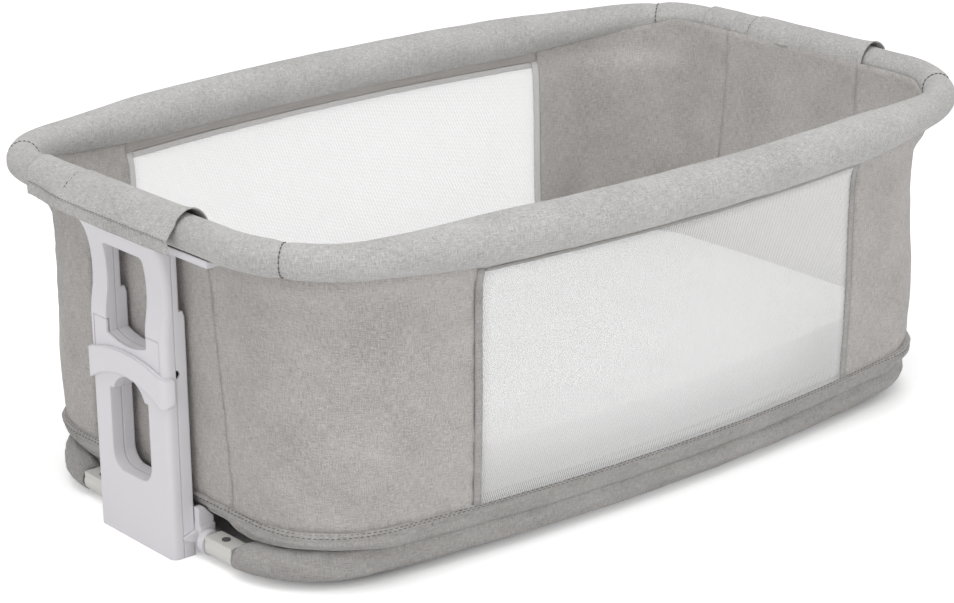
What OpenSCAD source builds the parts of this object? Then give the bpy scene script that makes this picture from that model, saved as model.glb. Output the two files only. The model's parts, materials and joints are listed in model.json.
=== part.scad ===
// Bedside bassinet basket: padded top rail, fabric and mesh walls, tubular base ring,
// and a moulded upright at each end that drops onto the posts of a stand.
// X runs along the basket, Y across it, Z up; the origin is the middle of the footprint.

/* [Top rail] */
// How far the rail's centre line stands out past the base ring's at the ends
rail_over_l = 23.4; // [18:0.2:28]
// How far the rail's centre line stands out past the base ring's at the sides
rail_over_w = 43.4; // [38:0.2:48]
// Plan radius of the rail's four corners
rail_corner_r = 106; // [92:1:125]
// Height of the long sides' padding, at its centre
rail_z = 318; // [312:1:330]
// Outside diameter of the padding along the long sides
rail_pad_d = 48.5; // [44:0.5:52]
// Outside diameter of the padding round the ends
rail_end_d = 34.6; // [34:0.2:38]
// How much higher the padding's centre sits at the ends
rail_rise = 9; // [5:0.5:10]
// Distance from the rail's end at which the padding starts to slim
rail_slim_from = 228; // [190:2:260]
// Distance from the rail's end at which the padding has its slim size
rail_slim_to = 45; // [30:1:80]
// Outside diameter of the rail's steel tube
rail_tube_d = 22; // [18:0.5:22]
// Angle round each corner at which the rail's covers are sewn together
rail_seam_a = 36; // [26:1:50]

/* [Plan curves] */
// Plan radius of the bowed long sides, rail and base alike
side_r = 2000; // [1600:10:3000]
// Plan radius of the nearly straight ends
end_r = 6000; // [4000:50:9000]

/* [Base ring] */
// Half length of the base ring, centre to the tube's centre line
base_half_l = 419.6; // [412:0.2:422]
// Half width of the base ring at the middle of a long side
base_half_w = 239.6; // [228:0.2:250]
// Plan radius of the base ring's corners
base_corner_r = 95; // [85:1:110]
// Outside diameter of the base ring's steel tube
base_tube_d = 17; // [14:0.5:19]
// Wall thickness of both steel tubes
tube_wall = 1.5; // [1:0.1:2.5]
// Outside diameter of the fabric sleeve on the base ring
sleeve_d = 35; // [32:0.5:38]
// How far the tube's centre line lies below the sleeve's
tube_drop = 6.5; // [5:0.5:7]
// Height of the base ring's underside above the floor
base_lift = 5; // [3:0.5:8]

/* [Fabric walls] */
// How far the walls' top edge lies inside the rail's centre line at the ends
wall_top_in_l = 19; // [18:0.5:24]
// How far the walls' top edge lies inside the rail's centre line at the sides
wall_top_in_w = 6; // [2:0.5:12]
// How far the walls' bottom seam lies inside the base ring's centre line at the ends
wall_low_in_l = 1.6; // [0:0.2:6]
// How far the walls' bottom seam stands out past the base ring's centre line at the sides
wall_low_out_w = 27.4; // [20:0.2:32]
// Plan radius of the wall's corners at the top
wall_top_r = 102; // [90:1:115]
// Plan radius of the wall's corners at the bottom seam
wall_low_r = 103; // [90:1:115]
// Height of the seam where the walls meet the hem band
wall_low_z = 60; // [56:1:72]
// Thickness of the padded wall fabric
fabric_t = 2.4; // [1.5:0.1:4]
// Thickness of the woven mesh
mesh_t = 1; // [0.6:0.1:2]
// Distance from the walls' end to the near window
window_near_in = 184; // [170:1:230]
// Distance from the walls' end to the far window
window_far_in = 155; // [146:1:200]
// Width of the tape that binds the windows
tape_w = 8; // [6:0.5:12]
// How far the near window's top edge lies below the walls' top
window_near_drop = 13; // [11:0.5:32]
// How far the far window's top edge lies below the walls' top
window_far_drop = 16; // [11:0.5:32]
// Half width of the end panels
end_panel_w = 112; // [95:1:125]
// Width of the zip tape
zip_w = 9; // [6:0.5:12]
// Distance from the base ring's end to the end of the zip tape
zip_in = 130; // [115:1:170]

/* [Floor and mattress] */
// Thickness of the floor panel
floor_t = 6; // [4:0.5:9]
// Thickness of the mattress
mattress_t = 54; // [40:1:60]
// Gap between the mattress and the base ring's inner side
mattress_gap = 3; // [1:0.5:8]
// How far the mattress lifts
mattress_lift = 250; // [150:10:350]

/* [Uprights] */
// How far the uprights' outer face stands out past the base ring's centre line
face_out = 30.4; // [29:0.2:32]
// Width of an upright
upright_w = 123; // [118:1:127]
// Depth of an upright, outer face to back
upright_d = 24; // [24:0.5:26]
// Depth of the outer shell, up to the joint between the shells
outer_d = 12; // [11:0.5:13]
// Wall thickness of the shells
shell_t = 2.5; // [2:0.1:3]
// Height of the shells' step above the bottom of the upper hand opening
step_up = 40; // [34:1:50]
// Height of the flare at the uprights' top
flare_h = 73; // [58:1:80]
// How far the uprights' top edge lies below the centre of the rail's end
lip_drop = 4; // [2:0.5:8]
// How far the top edge stands out from the outer face
flare_d = 18; // [14:0.5:20]
// How far the outer face is hollowed below the flare
dip_d = 4; // [0:0.5:5]
// Depth of the inner shell above its step
thin_d = 6; // [3:0.5:7]
// Half width of the upper hand opening
grip_half_w = 32; // [29:0.5:33]
// Distance from the uprights' top edge to the upper hand opening
grip_top_in = 35; // [33:1:42]
// Height of the upper hand opening, at its middle
grip_h = 93; // [89:1:95]
// Radius of the curved bottom of the upper hand opening
grip_sag_r = 88; // [70:1:120]
// Half width of the lower hand opening
hand_half_w = 31.5; // [29:0.5:33]
// Bottom of the lower hand opening
hand_low_z = 67; // [60:1:80]
// How far the steps under the arch lie below the upper hand opening
hand_step_drop = 48; // [45:1:54]
// Rise of the arch over the lower opening
arch_rise = 17; // [14:0.5:18]
// Half width of the arch over the lower opening
arch_half_w = 25.7; // [22:0.1:28]
// How far the arched collar stands out from the upright's front and sides
collar_d = 4.5; // [3:0.5:6]
// How far the collar reaches back round the upright's sides
collar_wrap = 8; // [6:0.5:10]

/* [Release slider] */
// Travel of the release slider
slide_travel = 8; // [6:0.5:9]
// How far the slider's lower edge lies below the upper hand opening
slider_drop = 19.5; // [18:0.1:20]
// Height of the slider's two legs above the bottom of the upper hand opening
slider_leg_up = 18; // [14:1:24]
// Half width of the slider across its legs
slider_half_w = 53; // [50:0.5:54.5]
// Thickness of the slider's visible skin
slider_skin = 2.4; // [2:0.1:2.8]
// Thickness of the block behind the skin that carries the cam slots
slider_block_t = 3.8; // [3.4:0.1:4.2]
// How far the cam block reaches past the latch bolts' pegs
cam_side = 5.5; // [4.5:0.5:6.5]

/* [Latch bolts] */
// Diameter of a latch bolt
bolt_d = 8; // [7:0.1:8.4]
// Length of a latch bolt
bolt_len = 34; // [33:0.5:35]
// How far a bolt's outer end stops short of the middle of its post socket
bolt_end_in = 0.5; // [0:0.1:1.5]
// How far the bolts lie below the upper hand opening
bolt_drop = 13.5; // [13:0.1:14.5]
// Diameter of the peg that rides in the cam slot
peg_d = 3; // [2.4:0.1:3.4]
// Distance from a bolt's inner end to its peg
peg_in = 10; // [9.5:0.1:10.5]

/* [Stand post sockets] */
// Inside diameter of a post socket
socket_d = 16.4; // [15:0.1:16.6]
// Wall thickness of a post socket
socket_wall = 1.1; // [0.9:0.1:1.2]
// How far a post socket ends below the latch bolts
socket_under = 31.5; // [26:0.5:60]

/* [Base connectors] */
// Distance from the middle to a connector's inner end
conn_y = 82; // [80:1:86]
// Length of a connector
conn_len = 40; // [36:1:44]
// Outside diameter of a connector's barrel
conn_d = 21; // [20:0.5:24]
// Width of the flat block on top of a connector
block_w = 19; // [16:0.5:22]
// How far the block's flat top lies above the tube's centre line
block_out = 10.5; // [9.5:0.5:12]
// Diameter of a snap button
button_d = 8; // [6:0.5:10]
// Travel of a snap button
button_travel = 2.5; // [1.5:0.1:3]
// Distance from a connector's inner end to its snap button
button_off = 20; // [16:0.5:26]

/* [Fits] */
// Clearance between pieces that sit beside each other
gap = 0.3; // [0.2:0.05:0.5]
// Radial clearance of a pin or bolt that slides in a bore
run_gap = 0.05; // [0.02:0.01:0.1]
// Diameter of the small screws
screw_d = 3.6; // [3:0.1:4]

/* [Hidden] */
fine = 96;
long_fine = 720;
eps = 0.01;

// Colours
cloth = "#B9B6B3";
cloth_dark = "#A3A19E";
white_plastic = "#E4E2E6";
cream_plastic = "#DEDCD6";
mesh_white = "#F2F2F2";
steel = "#9A9C9F";
button_grey = "#6E7072";

// Half planes and levels that follow from the sizes above
rail_half_l = base_half_l + rail_over_l;
rail_half_w = base_half_w + rail_over_w;
wall_top_l = rail_half_l - wall_top_in_l;
wall_top_w = rail_half_w - wall_top_in_w;
wall_low_l = base_half_l - wall_low_in_l;
wall_low_w = base_half_w + wall_low_out_w;
window_near_l = wall_top_l - window_near_in;
window_far_l = wall_top_l - window_far_in;
zip_half_l = base_half_l - zip_in;
face_x = base_half_l + face_out;
rail_pad_r = rail_pad_d / 2;
rail_end_r = rail_end_d / 2;
rail_end_z = rail_z + rail_rise;
rail_tube_z = rail_z + rail_rise / 2;
sleeve_r = sleeve_d / 2;
base_z = base_lift + sleeve_r;
tube_z = base_z - tube_drop;
block_z = tube_z + block_out;
back_x = face_x - upright_d;
joint_x = face_x - outer_d;
upright_half_w = upright_w / 2;
upright_top_z = rail_end_z - lip_drop;
flare_z = upright_top_z - flare_h;
grip_top_z = upright_top_z - grip_top_in;
grip_low_z = grip_top_z - grip_h;
step_z = grip_low_z + step_up;
hand_step_z = grip_low_z - hand_step_drop;
slider_low_z = grip_low_z - slider_drop;
slider_leg_z = grip_low_z + slider_leg_up;
bolt_z = grip_low_z - bolt_drop;
socket_len = bolt_z - socket_under;
stile_y = (upright_half_w + hand_half_w) / 2;
bolt_inner_y = stile_y - bolt_end_in - bolt_len;
peg_y = bolt_inner_y + peg_in;
cam_half_w = peg_y + cam_side;
bracket_t = 3;
bracket_low_z = rail_end_z - rail_end_r - bracket_t - 1.5;
wall_top_z = rail_z - rail_pad_r + gap;
window_near_z = wall_top_z - window_near_drop;
window_far_z = wall_top_z - window_far_drop;
block_half_x = block_w / 2;

// ---------- plan geometry ----------
// The plan is a ring of tangent arcs: long sides, ends and four corners.
function side_centre(w) = [0, w - side_r];
function end_centre(l) = [l - end_r, 0];
function corner_centre(l, w, r) =
    let (s = side_centre(w), e = end_centre(l))
    let (d = norm(e - s), a = side_r - r, b = end_r - r)
    let (t = (a * a - b * b + d * d) / (2 * d), u = (e - s) / d)
    s + t * u + sqrt(a * a - t * t) * [-u.y, u.x] * (u.x < 0 ? -1 : 1);
function angle_to(a, b) = atan2(b.y - a.y, b.x - a.x);
// Angles at which a corner arc meets the end and the side
function end_angle(l, w, r) = angle_to(end_centre(l), corner_centre(l, w, r));
function side_angle(l, w, r) = angle_to(side_centre(w), corner_centre(l, w, r));
function arc(c, r, a0, a1, n) =
    [for (i = [0:n]) let (a = a0 + (a1 - a0) * i / n) c + r * [cos(a), sin(a)]];
// Plan point angles for a given x on the long side or y on the end
function side_at(x) = acos(x / side_r);
function end_at(y) = asin(y / end_r);
function tail(p) = [for (i = [1:len(p) - 1]) p[i]];
// Quarter path from x on the long side, round the corner, to y on the end
function quarter(l, w, r, x, y) = concat(
    arc(side_centre(w), side_r, side_at(x), side_angle(l, w, r), 6),
    tail(arc(corner_centre(l, w, r), r, side_angle(l, w, r), end_angle(l, w, r), 12)),
    tail(arc(end_centre(l), end_r, end_angle(l, w, r), end_at(y), 2)));
function side_path(w, x0, x1, n) = arc(side_centre(w), side_r, side_at(x0), side_at(x1), n);
function end_path(l, y0, y1, n) = arc(end_centre(l), end_r, end_at(y0), end_at(y1), n);
function flip(p, sx, sy) = [for (q = p) [q.x * sx, q.y * sy]];
function reversed(p) = [for (i = [len(p) - 1:-1:0]) p[i]];
function closed_ring(l, w, r) =
    let (q = quarter(l, w, r, 0, 0))
    concat(q, tail(reversed(flip(q, 1, -1))), tail(flip(q, -1, -1)),
        [for (i = [1:len(q) - 2]) reversed(flip(q, -1, 1))[i]]);
function at_z(p, z) = [for (q = p) [q.x, q.y, z]];

// A sheet between an outer and an inner stack of paths, lowest level first.
// The paths run clockwise seen from above; ring = true closes them.
module sheet(outer, inner, ring = false) {
    m = len(outer);
    n = len(outer[0]);
    pts = concat([for (p = outer) each p], [for (p = inner) each p]);
    o = m * n;
    last = ring ? n - 1 : n - 2;
    skins = [for (k = [0:m - 2]) for (i = [0:last])
        let (a = k * n + i, b = k * n + (i + 1) % n, c = b + n, d = a + n)
        each [[a, b, c], [a, c, d], [o + a, o + c, o + b], [o + a, o + d, o + c]]];
    t = (m - 1) * n;
    rims = [for (i = [0:last]) let (j = (i + 1) % n)
        each [[i, o + i, o + j], [i, o + j, j],
            [t + i, t + j, o + t + j], [t + i, o + t + j, o + t + i]]];
    ends = ring ? [] : [for (k = [0:m - 2])
        let (a = k * n, b = a + n, c = a + n - 1, d = b + n - 1)
        each [[a, b, o + b], [a, o + b, o + a], [c, o + d, d], [c, o + c, o + d]]];
    polyhedron(concat(pts), concat(skins, rims, ends), convexity = 8);
}

// Swept stretches of a ring: the 2-D child's x is measured out from the centre line.
// Stretches stop short of each joint by half a seam; a joint ring inside holds them together.
seam = 0.2;
function trim(r) = seam / 2 / r * 180 / PI;
module side_sweep(w, a, z) {
    b = a - trim(side_r);
    translate([0, side_centre(w).y, z])
        rotate([0, 0, 90 - b])
            rotate_extrude(angle = 2 * b, $fn = long_fine) translate([side_r, 0]) children();
}
module end_sweep(l, a0, a1, z) {
    translate([end_centre(l).x, 0, z])
        rotate([0, 0, a0])
            rotate_extrude(angle = a1 - a0, $fn = long_fine) translate([end_r, 0]) children();
}
module corner_sweep(l, w, r, a0, a1, z) {
    c = corner_centre(l, w, r);
    translate([c.x, c.y, z])
        rotate([0, 0, a0])
            rotate_extrude(angle = a1 - a0, $fn = fine) translate([r, 0]) children();
}
joint_len = 6;
module joint_ring(l, w, r, a, z, r0, r1, drop = 0) {
    c = corner_centre(l, w, r) + r * [cos(a), sin(a)];
    translate([c.x, c.y, z]) rotate([0, 0, a]) rotate([90, 0, 0]) difference() {
        cylinder(h = joint_len, r = r1, center = true, $fn = fine);
        translate([0, -drop, 0]) cylinder(h = joint_len + 2, r = r0, center = true, $fn = fine);
    }
}
// The far half of a hollow ring, from a plane y on each end
module half_ring(l, w, r, y, z, r_in, r_out, ring_in) {
    ea = end_angle(l, w, r);
    sa = side_angle(l, w, r);
    side_sweep(w, 90 - sa, z) ring_profile(r_in, r_out);
    for (s = [0, 1]) mirror([s, 0, 0]) {
        corner_sweep(l, w, r, ea + trim(r), sa - trim(r), z) ring_profile(r_in, r_out);
        end_sweep(l, end_at(y), ea - trim(end_r), z) ring_profile(r_in, r_out);
        joint_ring(l, w, r, sa, z, ring_in, r_out - gap);
        joint_ring(l, w, r, ea, z, ring_in, r_out - gap);
    }
}
module ring_profile(r_in, r_out) {
    difference() {
        circle(r_out, $fn = fine);
        circle(r_in, $fn = fine);
    }
}
module at_left() { mirror([1, 0, 0]) children(); }
module at_near() { mirror([0, 1, 0]) children(); }

// ---------- top rail ----------
module rail_tube_half() {
    r = rail_tube_d / 2;
    half_ring(rail_half_l, rail_half_w, rail_corner_r, seam / 2, rail_tube_z, r - tube_wall, r,
        r - tube_wall - 1);
}
// The padding is thick along the sides, slimmer and higher round the ends.
// A station is [plan point, outward direction]; stations run clockwise seen from above.
pad_n = 24;
function stations(c, r, a0, a1, n) = [for (i = [0:n])
    let (a = a0 + (a1 - a0) * i / n, u = [cos(a), sin(a)]) [c + r * u, u]];
function turned(st, sx, sy) = reversed([for (v = st)
    [[v[0].x * sx, v[0].y * sy], [v[1].x * sx, v[1].y * sy]]]);
function slim(x) =
    let (u = min(max((x - rail_half_l + rail_slim_from) / (rail_slim_from - rail_slim_to), 0), 1))
    u * u * (3 - 2 * u);
function pad_r_at(x) = rail_pad_r + (rail_end_r - rail_pad_r) * slim(abs(x));
function pad_z_at(x) = rail_z + rail_rise * pow(min(abs(x) / rail_half_l, 1), 6);
function pad_loop(v, r, z) = [for (i = [0:pad_n - 1]) let (a = 360 * i / pad_n)
    [v[0].x + v[1].x * r * sin(a), v[0].y + v[1].y * r * sin(a), z + r * cos(a)]];
module pad(st) {
    hole_r = (rail_tube_d / 2 + gap) / cos(180 / pad_n);
    sheet([for (v = st) pad_loop(v, pad_r_at(v[0].x), pad_z_at(v[0].x))],
        [for (v = st) pad_loop(v, hole_r, rail_tube_z)], ring = true);
}
rail_side_a = side_angle(rail_half_l, rail_half_w, rail_corner_r);
rail_end_a = end_angle(rail_half_l, rail_half_w, rail_corner_r);
rail_corner = corner_centre(rail_half_l, rail_half_w, rail_corner_r);
module rail_pad_side() {
    half = concat(stations(side_centre(rail_half_w), side_r, 90, rail_side_a, 8),
        tail(stations(rail_corner, rail_corner_r, rail_side_a,
            rail_seam_a + trim(rail_corner_r), 7)));
    pad(concat(turned(half, -1, 1), tail(half)));
}
module rail_pad_end() {
    half = concat(stations(rail_corner, rail_corner_r, rail_seam_a - trim(rail_corner_r),
            rail_end_a, 5),
        tail(stations(end_centre(rail_half_l), end_r, rail_end_a, 0, 3)));
    difference() {
        pad(concat(half, tail(turned(half, 1, -1))));
        for (y = rail_screw_y) translate([rail_screw_x(y), y, bracket_low_z])
            cylinder(h = rail_tube_z - bracket_low_z, d = screw_d + 2 * gap, $fn = fine);
    }
}
module rail_tube_near() { color(steel) at_near() rail_tube_half(); }
module rail_tube_far() { color(steel) rail_tube_half(); }
module rail_pad_near() { color(cloth) at_near() rail_pad_side(); }
module rail_pad_far() { color(cloth) rail_pad_side(); }
module rail_pad_left() { color(cloth) at_left() rail_pad_end(); }
module rail_pad_right() { color(cloth) rail_pad_end(); }

// Flap: wraps over the rail's end and hangs as a skirt outside the upright's top lip
flap_half_w = 98;
flap_t = 2;
flap_in_a = 180;
flap_r = rail_end_r + gap + flap_t;
hem_z = upright_top_z - 5;
skirt_x = face_x + flare_d + 2 * gap - rail_half_l;
lip = [skirt_x + flap_t, upright_top_z + 1 - rail_end_z];
// The fabric leaves the pad along the line that just touches the lip
flap_out_a = atan2(lip.y, lip.x) + acos(flap_r / norm(lip));
function flap_arc(r) = let (n = 16)
    [for (i = [0:n]) let (a = flap_in_a + (flap_out_a - flap_in_a) * i / n) r * [cos(a), sin(a)]];
module flap_profile() {
    inner = concat(flap_arc(flap_r - flap_t), [[skirt_x, lip.y], [skirt_x, hem_z - rail_end_z]]);
    outer = concat(flap_arc(flap_r), [lip, [lip.x, hem_z - rail_end_z]]);
    polygon(concat(inner, reversed(outer)));
}
module flap() {
    a = end_at(flap_half_w);
    end_sweep(rail_half_l, -a, a, rail_end_z) flap_profile();
}
module rail_flap_left() { color(cloth) at_left() flap(); }
module rail_flap_right() { color(cloth) flap(); }

// Bracket: a channel under the rail's end that the rail is screwed to
bracket_half_w = 138;
bracket_in = 15;
bracket_out = 10;
rail_screw_y = [-118, 118];
function rail_screw_x(y) = rail_half_l - y * y / (2 * end_r);
module bracket() {
    a = end_at(bracket_half_w);
    difference() {
        end_sweep(rail_half_l, -a, a, rail_end_z) difference() {
            translate([-bracket_in, bracket_low_z - rail_end_z])
                square([bracket_in + bracket_out, bracket_t + 9]);
            circle(rail_end_r + gap, $fn = fine);
        }
        for (y = rail_screw_y) translate([rail_screw_x(y), y, bracket_low_z - 1])
            cylinder(h = 20, d = screw_d, $fn = fine);
    }
}
module rail_bracket_left() { color(white_plastic) at_left() bracket(); }
module rail_bracket_right() { color(white_plastic) bracket(); }

// A pan head screw standing on its head, its shank pointing up
head_d = 2 * screw_d;
head_h = 2;
module screw(len) {
    translate([0, 0, -head_h]) cylinder(h = head_h, d = head_d, $fn = fine);
    cylinder(h = len, d = screw_d, $fn = fine);
}
module rail_screws() {
    color(button_grey) for (s = [0, 1]) mirror([s, 0, 0]) for (y = rail_screw_y)
        translate([rail_screw_x(y), y, bracket_low_z])
            screw(rail_tube_z - rail_tube_d / 2 - gap - bracket_low_z);
}

// ---------- uprights ----------
// Everything here is drawn for the right end, outer face towards +X.
// 2-D outlines of openings are drawn as [y, z] and run through the upright by cut_x.
module cut_x(x0, x1) {
    translate([x0, 0, 0]) rotate([90, 0, 90]) linear_extrude(x1 - x0) children();
}
module round_box(half_w, z0, z1, r) {
    translate([-half_w, z0 + r]) square([2 * half_w, z1 - z0 - 2 * r]);
    translate([-half_w + r, z0]) square([2 * half_w - 2 * r, z1 - z0]);
    for (y = [-1, 1]) for (z = [z0 + r, z1 - r])
        translate([y * (half_w - r), z]) circle(r, $fn = fine);
}
grip_r = 5;
hand_r = 17;
module grip_outline(g) {
    intersection() {
        round_box(grip_half_w + g, grip_low_z - grip_r, grip_top_z + g, grip_r);
        union() {
            translate([-upright_w, grip_low_z + grip_half_w / 2])
                square([2 * upright_w, grip_top_z - grip_low_z]);
            translate([0, grip_low_z + grip_sag_r]) circle(grip_sag_r + g, $fn = 2 * fine);
        }
    }
}
arch_r = (arch_half_w * arch_half_w + arch_rise * arch_rise) / (2 * arch_rise);
module hand_outline(g) {
    difference() {
        round_box(hand_half_w + g, hand_low_z - g, hand_step_z + hand_r + g, hand_r);
        translate([-upright_w, hand_step_z + g]) square([2 * upright_w, hand_half_w]);
    }
    intersection() {
        translate([0, hand_step_z + arch_rise - arch_r]) circle(arch_r + g, $fn = fine);
        translate([-upright_w, hand_step_z - arch_rise / 3]) square([2 * upright_w, hand_half_w]);
    }
}
// Front skin: plan paths of the outer face and its side walls, stacked up the upright.
// The face is straight at first, then flares out to the top lip.
edge_r = 6.5;
lip_edge_r = 3;
shoulder_z = bracket_low_z - gap;
flare_steps = 7;
dip_steps = 4;
dip_z = slider_leg_z + 2;
function smooth(u) = u * u * (3 - 2 * u);
function face_at(z) = z < dip_z ? face_x
    : z < flare_z ? face_x - dip_d * smooth((z - dip_z) / (flare_z - dip_z))
    : face_x - dip_d
        + (flare_d + dip_d) * pow((z - flare_z) / (upright_top_z - flare_z), 2.6);
// One level: [height, how far back the side walls reach, edge radius]
skin_levels = concat(
    [[0, joint_x, edge_r]],
    [for (i = [0:dip_steps]) [dip_z + (flare_z - dip_z) * i / dip_steps, joint_x, edge_r]],
    [for (i = [1:flare_steps - 1])
        [flare_z + (shoulder_z - 1 - flare_z) * i / flare_steps, joint_x, edge_r]],
    [[shoulder_z - 1, joint_x, lip_edge_r + 1]],
    [for (i = [0:flare_steps])
        let (z = shoulder_z + (upright_top_z - shoulder_z) * i / flare_steps)
        [z, face_at(z) - lip_edge_r - 0.5, lip_edge_r]]);
function skin_path(v, t) =
    let (x = face_at(v[0]) - t, w = upright_half_w - t, r = v[2] - t)
    concat([[v[1], w, v[0]]],
        [for (i = [0:4]) [x - r + r * sin(22.5 * i), w - r + r * cos(22.5 * i), v[0]]],
        [for (i = [4:-1:0]) [x - r + r * sin(22.5 * i), r - w - r * cos(22.5 * i), v[0]]],
        [[v[1], -w, v[0]]]);
module across(half_w) {
    translate([0, half_w, 0]) rotate([90, 0, 0]) linear_extrude(2 * half_w) children();
}
// Collar: an arched band round the upright's front and corners, over the lower opening
collar_top_z = grip_low_z - 5;
collar_edge_z = collar_top_z - 12;
collar_low_z = hand_step_z + 3;
module collar_outline() {
    w = upright_half_w + collar_d;
    r = (w * w + pow(collar_top_z - collar_edge_z, 2)) / (2 * (collar_top_z - collar_edge_z));
    a = w - collar_wrap;
    h = arch_rise;
    b = (a * a + h * h) / (2 * h);
    difference() {
        intersection() {
            round_box(w, collar_low_z, collar_top_z + 2 * collar_wrap, collar_wrap);
            translate([0, collar_top_z - r]) circle(r, $fn = 2 * fine);
        }
        translate([0, collar_low_z + h - b]) circle(b, $fn = 2 * fine);
    }
}
module plan_front(half_w, x0, x1, r) {
    translate([x0, -half_w]) square([x1 - x0 - r, 2 * half_w]);
    translate([x0, r - half_w]) square([x1 - x0, 2 * (half_w - r)]);
    for (y = [-1, 1]) translate([x1 - r, y * (half_w - r)]) circle(r, $fn = fine);
}
module collar() {
    intersection() {
        cut_x(face_x - collar_wrap, face_x + collar_d + 1) collar_outline();
        translate([0, 0, collar_low_z - 1]) linear_extrude(collar_top_z - collar_low_z + 2)
            difference() {
                plan_front(upright_half_w + collar_d, face_x - collar_wrap - 1,
                    face_x + collar_d, edge_r + collar_d);
                plan_front(upright_half_w - 1, face_x - collar_wrap - 2, face_x - 1, edge_r - 1);
            }
    }
}
// Openings for the release slider: its skin and the block behind it
slider_cut_z = slider_low_z - slide_travel - gap;
module slider_slot() {
    x0 = face_x - slider_skin - slider_block_t - 2 * gap;
    translate([face_x - shell_t - 1, 0, 0]) cut_x(0, shell_t + 1)
        slider_outline(gap, slider_cut_z);
    translate([x0 - 8, -cam_half_w - gap, slider_cut_z])
        cube([face_x - x0 + 8, 2 * (cam_half_w + gap), grip_low_z - shell_t - slider_cut_z]);
}
boss_d = 8;
screw_at = [[-15, 35], [15, 35], [-stile_y, step_z - 16], [stile_y, step_z - 16]];
// A wall that follows an opening's edge, from the shells' joint to the front skin
module opening_wall() {
    intersection() {
        union() {
            cut_x(joint_x, face_x + flare_d) grip_outline(shell_t);
            cut_x(joint_x, face_x + flare_d) hand_outline(shell_t);
        }
        across(upright_half_w) polygon(concat([[joint_x, 0]],
            [for (v = skin_levels) [face_at(v[0]) - shell_t / 2, v[0]]],
            [[joint_x, upright_top_z]]));
    }
}
module outer_shell() {
    in_w = upright_half_w - shell_t / 2;
    in_x = face_x - shell_t / 2;
    difference() {
        union() {
            sheet([for (v = skin_levels) skin_path(v, 0)],
                [for (v = skin_levels) skin_path(v, shell_t)]);
            for (z = [0, shoulder_z - 1 - shell_t]) translate([joint_x, -in_w + edge_r, z])
                cube([face_at(z) - shell_t / 2 - joint_x, 2 * (in_w - edge_r), shell_t]);
            opening_wall();
            translate([joint_x, -cam_half_w, spring_low_z - 2])
                cube([in_x - joint_x, 2 * cam_half_w, 2]);
            collar();
            for (p = screw_at) translate([joint_x, p.x, p.y]) rotate([0, 90, 0])
                cylinder(h = outer_d - 1, d = boss_d, $fn = fine);
        }
        cut_x(joint_x - 2, face_x + 30) grip_outline(0);
        cut_x(joint_x - 2, face_x + 30) hand_outline(0);
        slider_slot();
        for (s = [-1, 1]) translate([joint_x, s * stile_y, -1])
            cylinder(h = socket_len + 1 + gap, d = socket_d + 2 * socket_wall, $fn = fine);
        for (p = screw_at) translate([joint_x - 1, p.x, p.y]) rotate([0, 90, 0])
            cylinder(h = outer_d - 3, d = screw_d + 2 * run_gap, $fn = fine);
    }
}
// Rib that guides a latch bolt, standing on the inner shell's back wall
rib_y = cam_half_w + 7;
rib_t = 3;
module inner_shell() {
    deep = [[back_x, 0], [joint_x, 0], [joint_x, step_z + 6], [back_x + 2, step_z + 6],
        [back_x, step_z]];
    thin_x = joint_x - thin_d;
    difference() {
        union() {
            difference() {
                union() {
                    across(upright_half_w) polygon(deep);
                    translate([thin_x, -upright_half_w, step_z])
                        cube([thin_d, upright_w, shoulder_z - step_z]);
                }
                difference() {
                    translate([back_x + shell_t, -upright_half_w + shell_t, shell_t])
                        cube([upright_d, upright_w - 2 * shell_t, step_z - shell_t]);
                    cut_x(back_x - 1, joint_x + 1) grip_outline(shell_t);
                    cut_x(back_x - 1, joint_x + 1) hand_outline(shell_t);
                }
            }
            for (s = [-1, 1]) translate([back_x + 1, s * (rib_y + rib_t / 2) - rib_t / 2, bolt_z - 8])
                cube([joint_x + 5 - back_x - 1, rib_t, 16]);
            for (p = screw_at) translate([back_x + 1, p.x, p.y]) rotate([0, 90, 0])
                cylinder(h = outer_d - 1, d = boss_d, $fn = fine);
        }
        cut_x(back_x - 1, joint_x + 10) grip_outline(0);
        cut_x(back_x - 1, joint_x + 10) hand_outline(0);
        translate([joint_x - 7, -cam_half_w - 6, slider_cut_z])
            cube([14, 2 * cam_half_w + 12, grip_low_z - shell_t - slider_cut_z]);
        for (s = [-1, 1]) translate([joint_x, s * stile_y, -1])
            cylinder(h = socket_len + 1 + gap, d = socket_d + 2 * socket_wall, $fn = fine);
        translate([joint_x, -upright_half_w, bolt_z]) rotate([-90, 0, 0])
            cylinder(h = upright_w, d = bolt_d + 2 * run_gap, $fn = fine);
        for (p = screw_at) {
            translate([back_x - 1, p.x, p.y]) rotate([0, 90, 0])
                cylinder(h = upright_d, d = screw_d, $fn = fine);
            translate([back_x - 1, p.x, p.y]) rotate([0, 90, 0])
                cylinder(h = 1 + head_h, d = head_d + 0.4, $fn = fine);
        }
    }
}
module outer_shell_left() { color(white_plastic) at_left() outer_shell(); }
module outer_shell_right() { color(white_plastic) outer_shell(); }
module inner_shell_left() { color(white_plastic) at_left() inner_shell(); }
module inner_shell_right() { color(white_plastic) inner_shell(); }
module shell_screws() {
    color(button_grey) for (s = [0, 1]) mirror([s, 0, 0]) for (p = screw_at)
        translate([back_x + head_h, p.x, p.y]) rotate([0, 90, 0]) screw(13);
}

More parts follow.
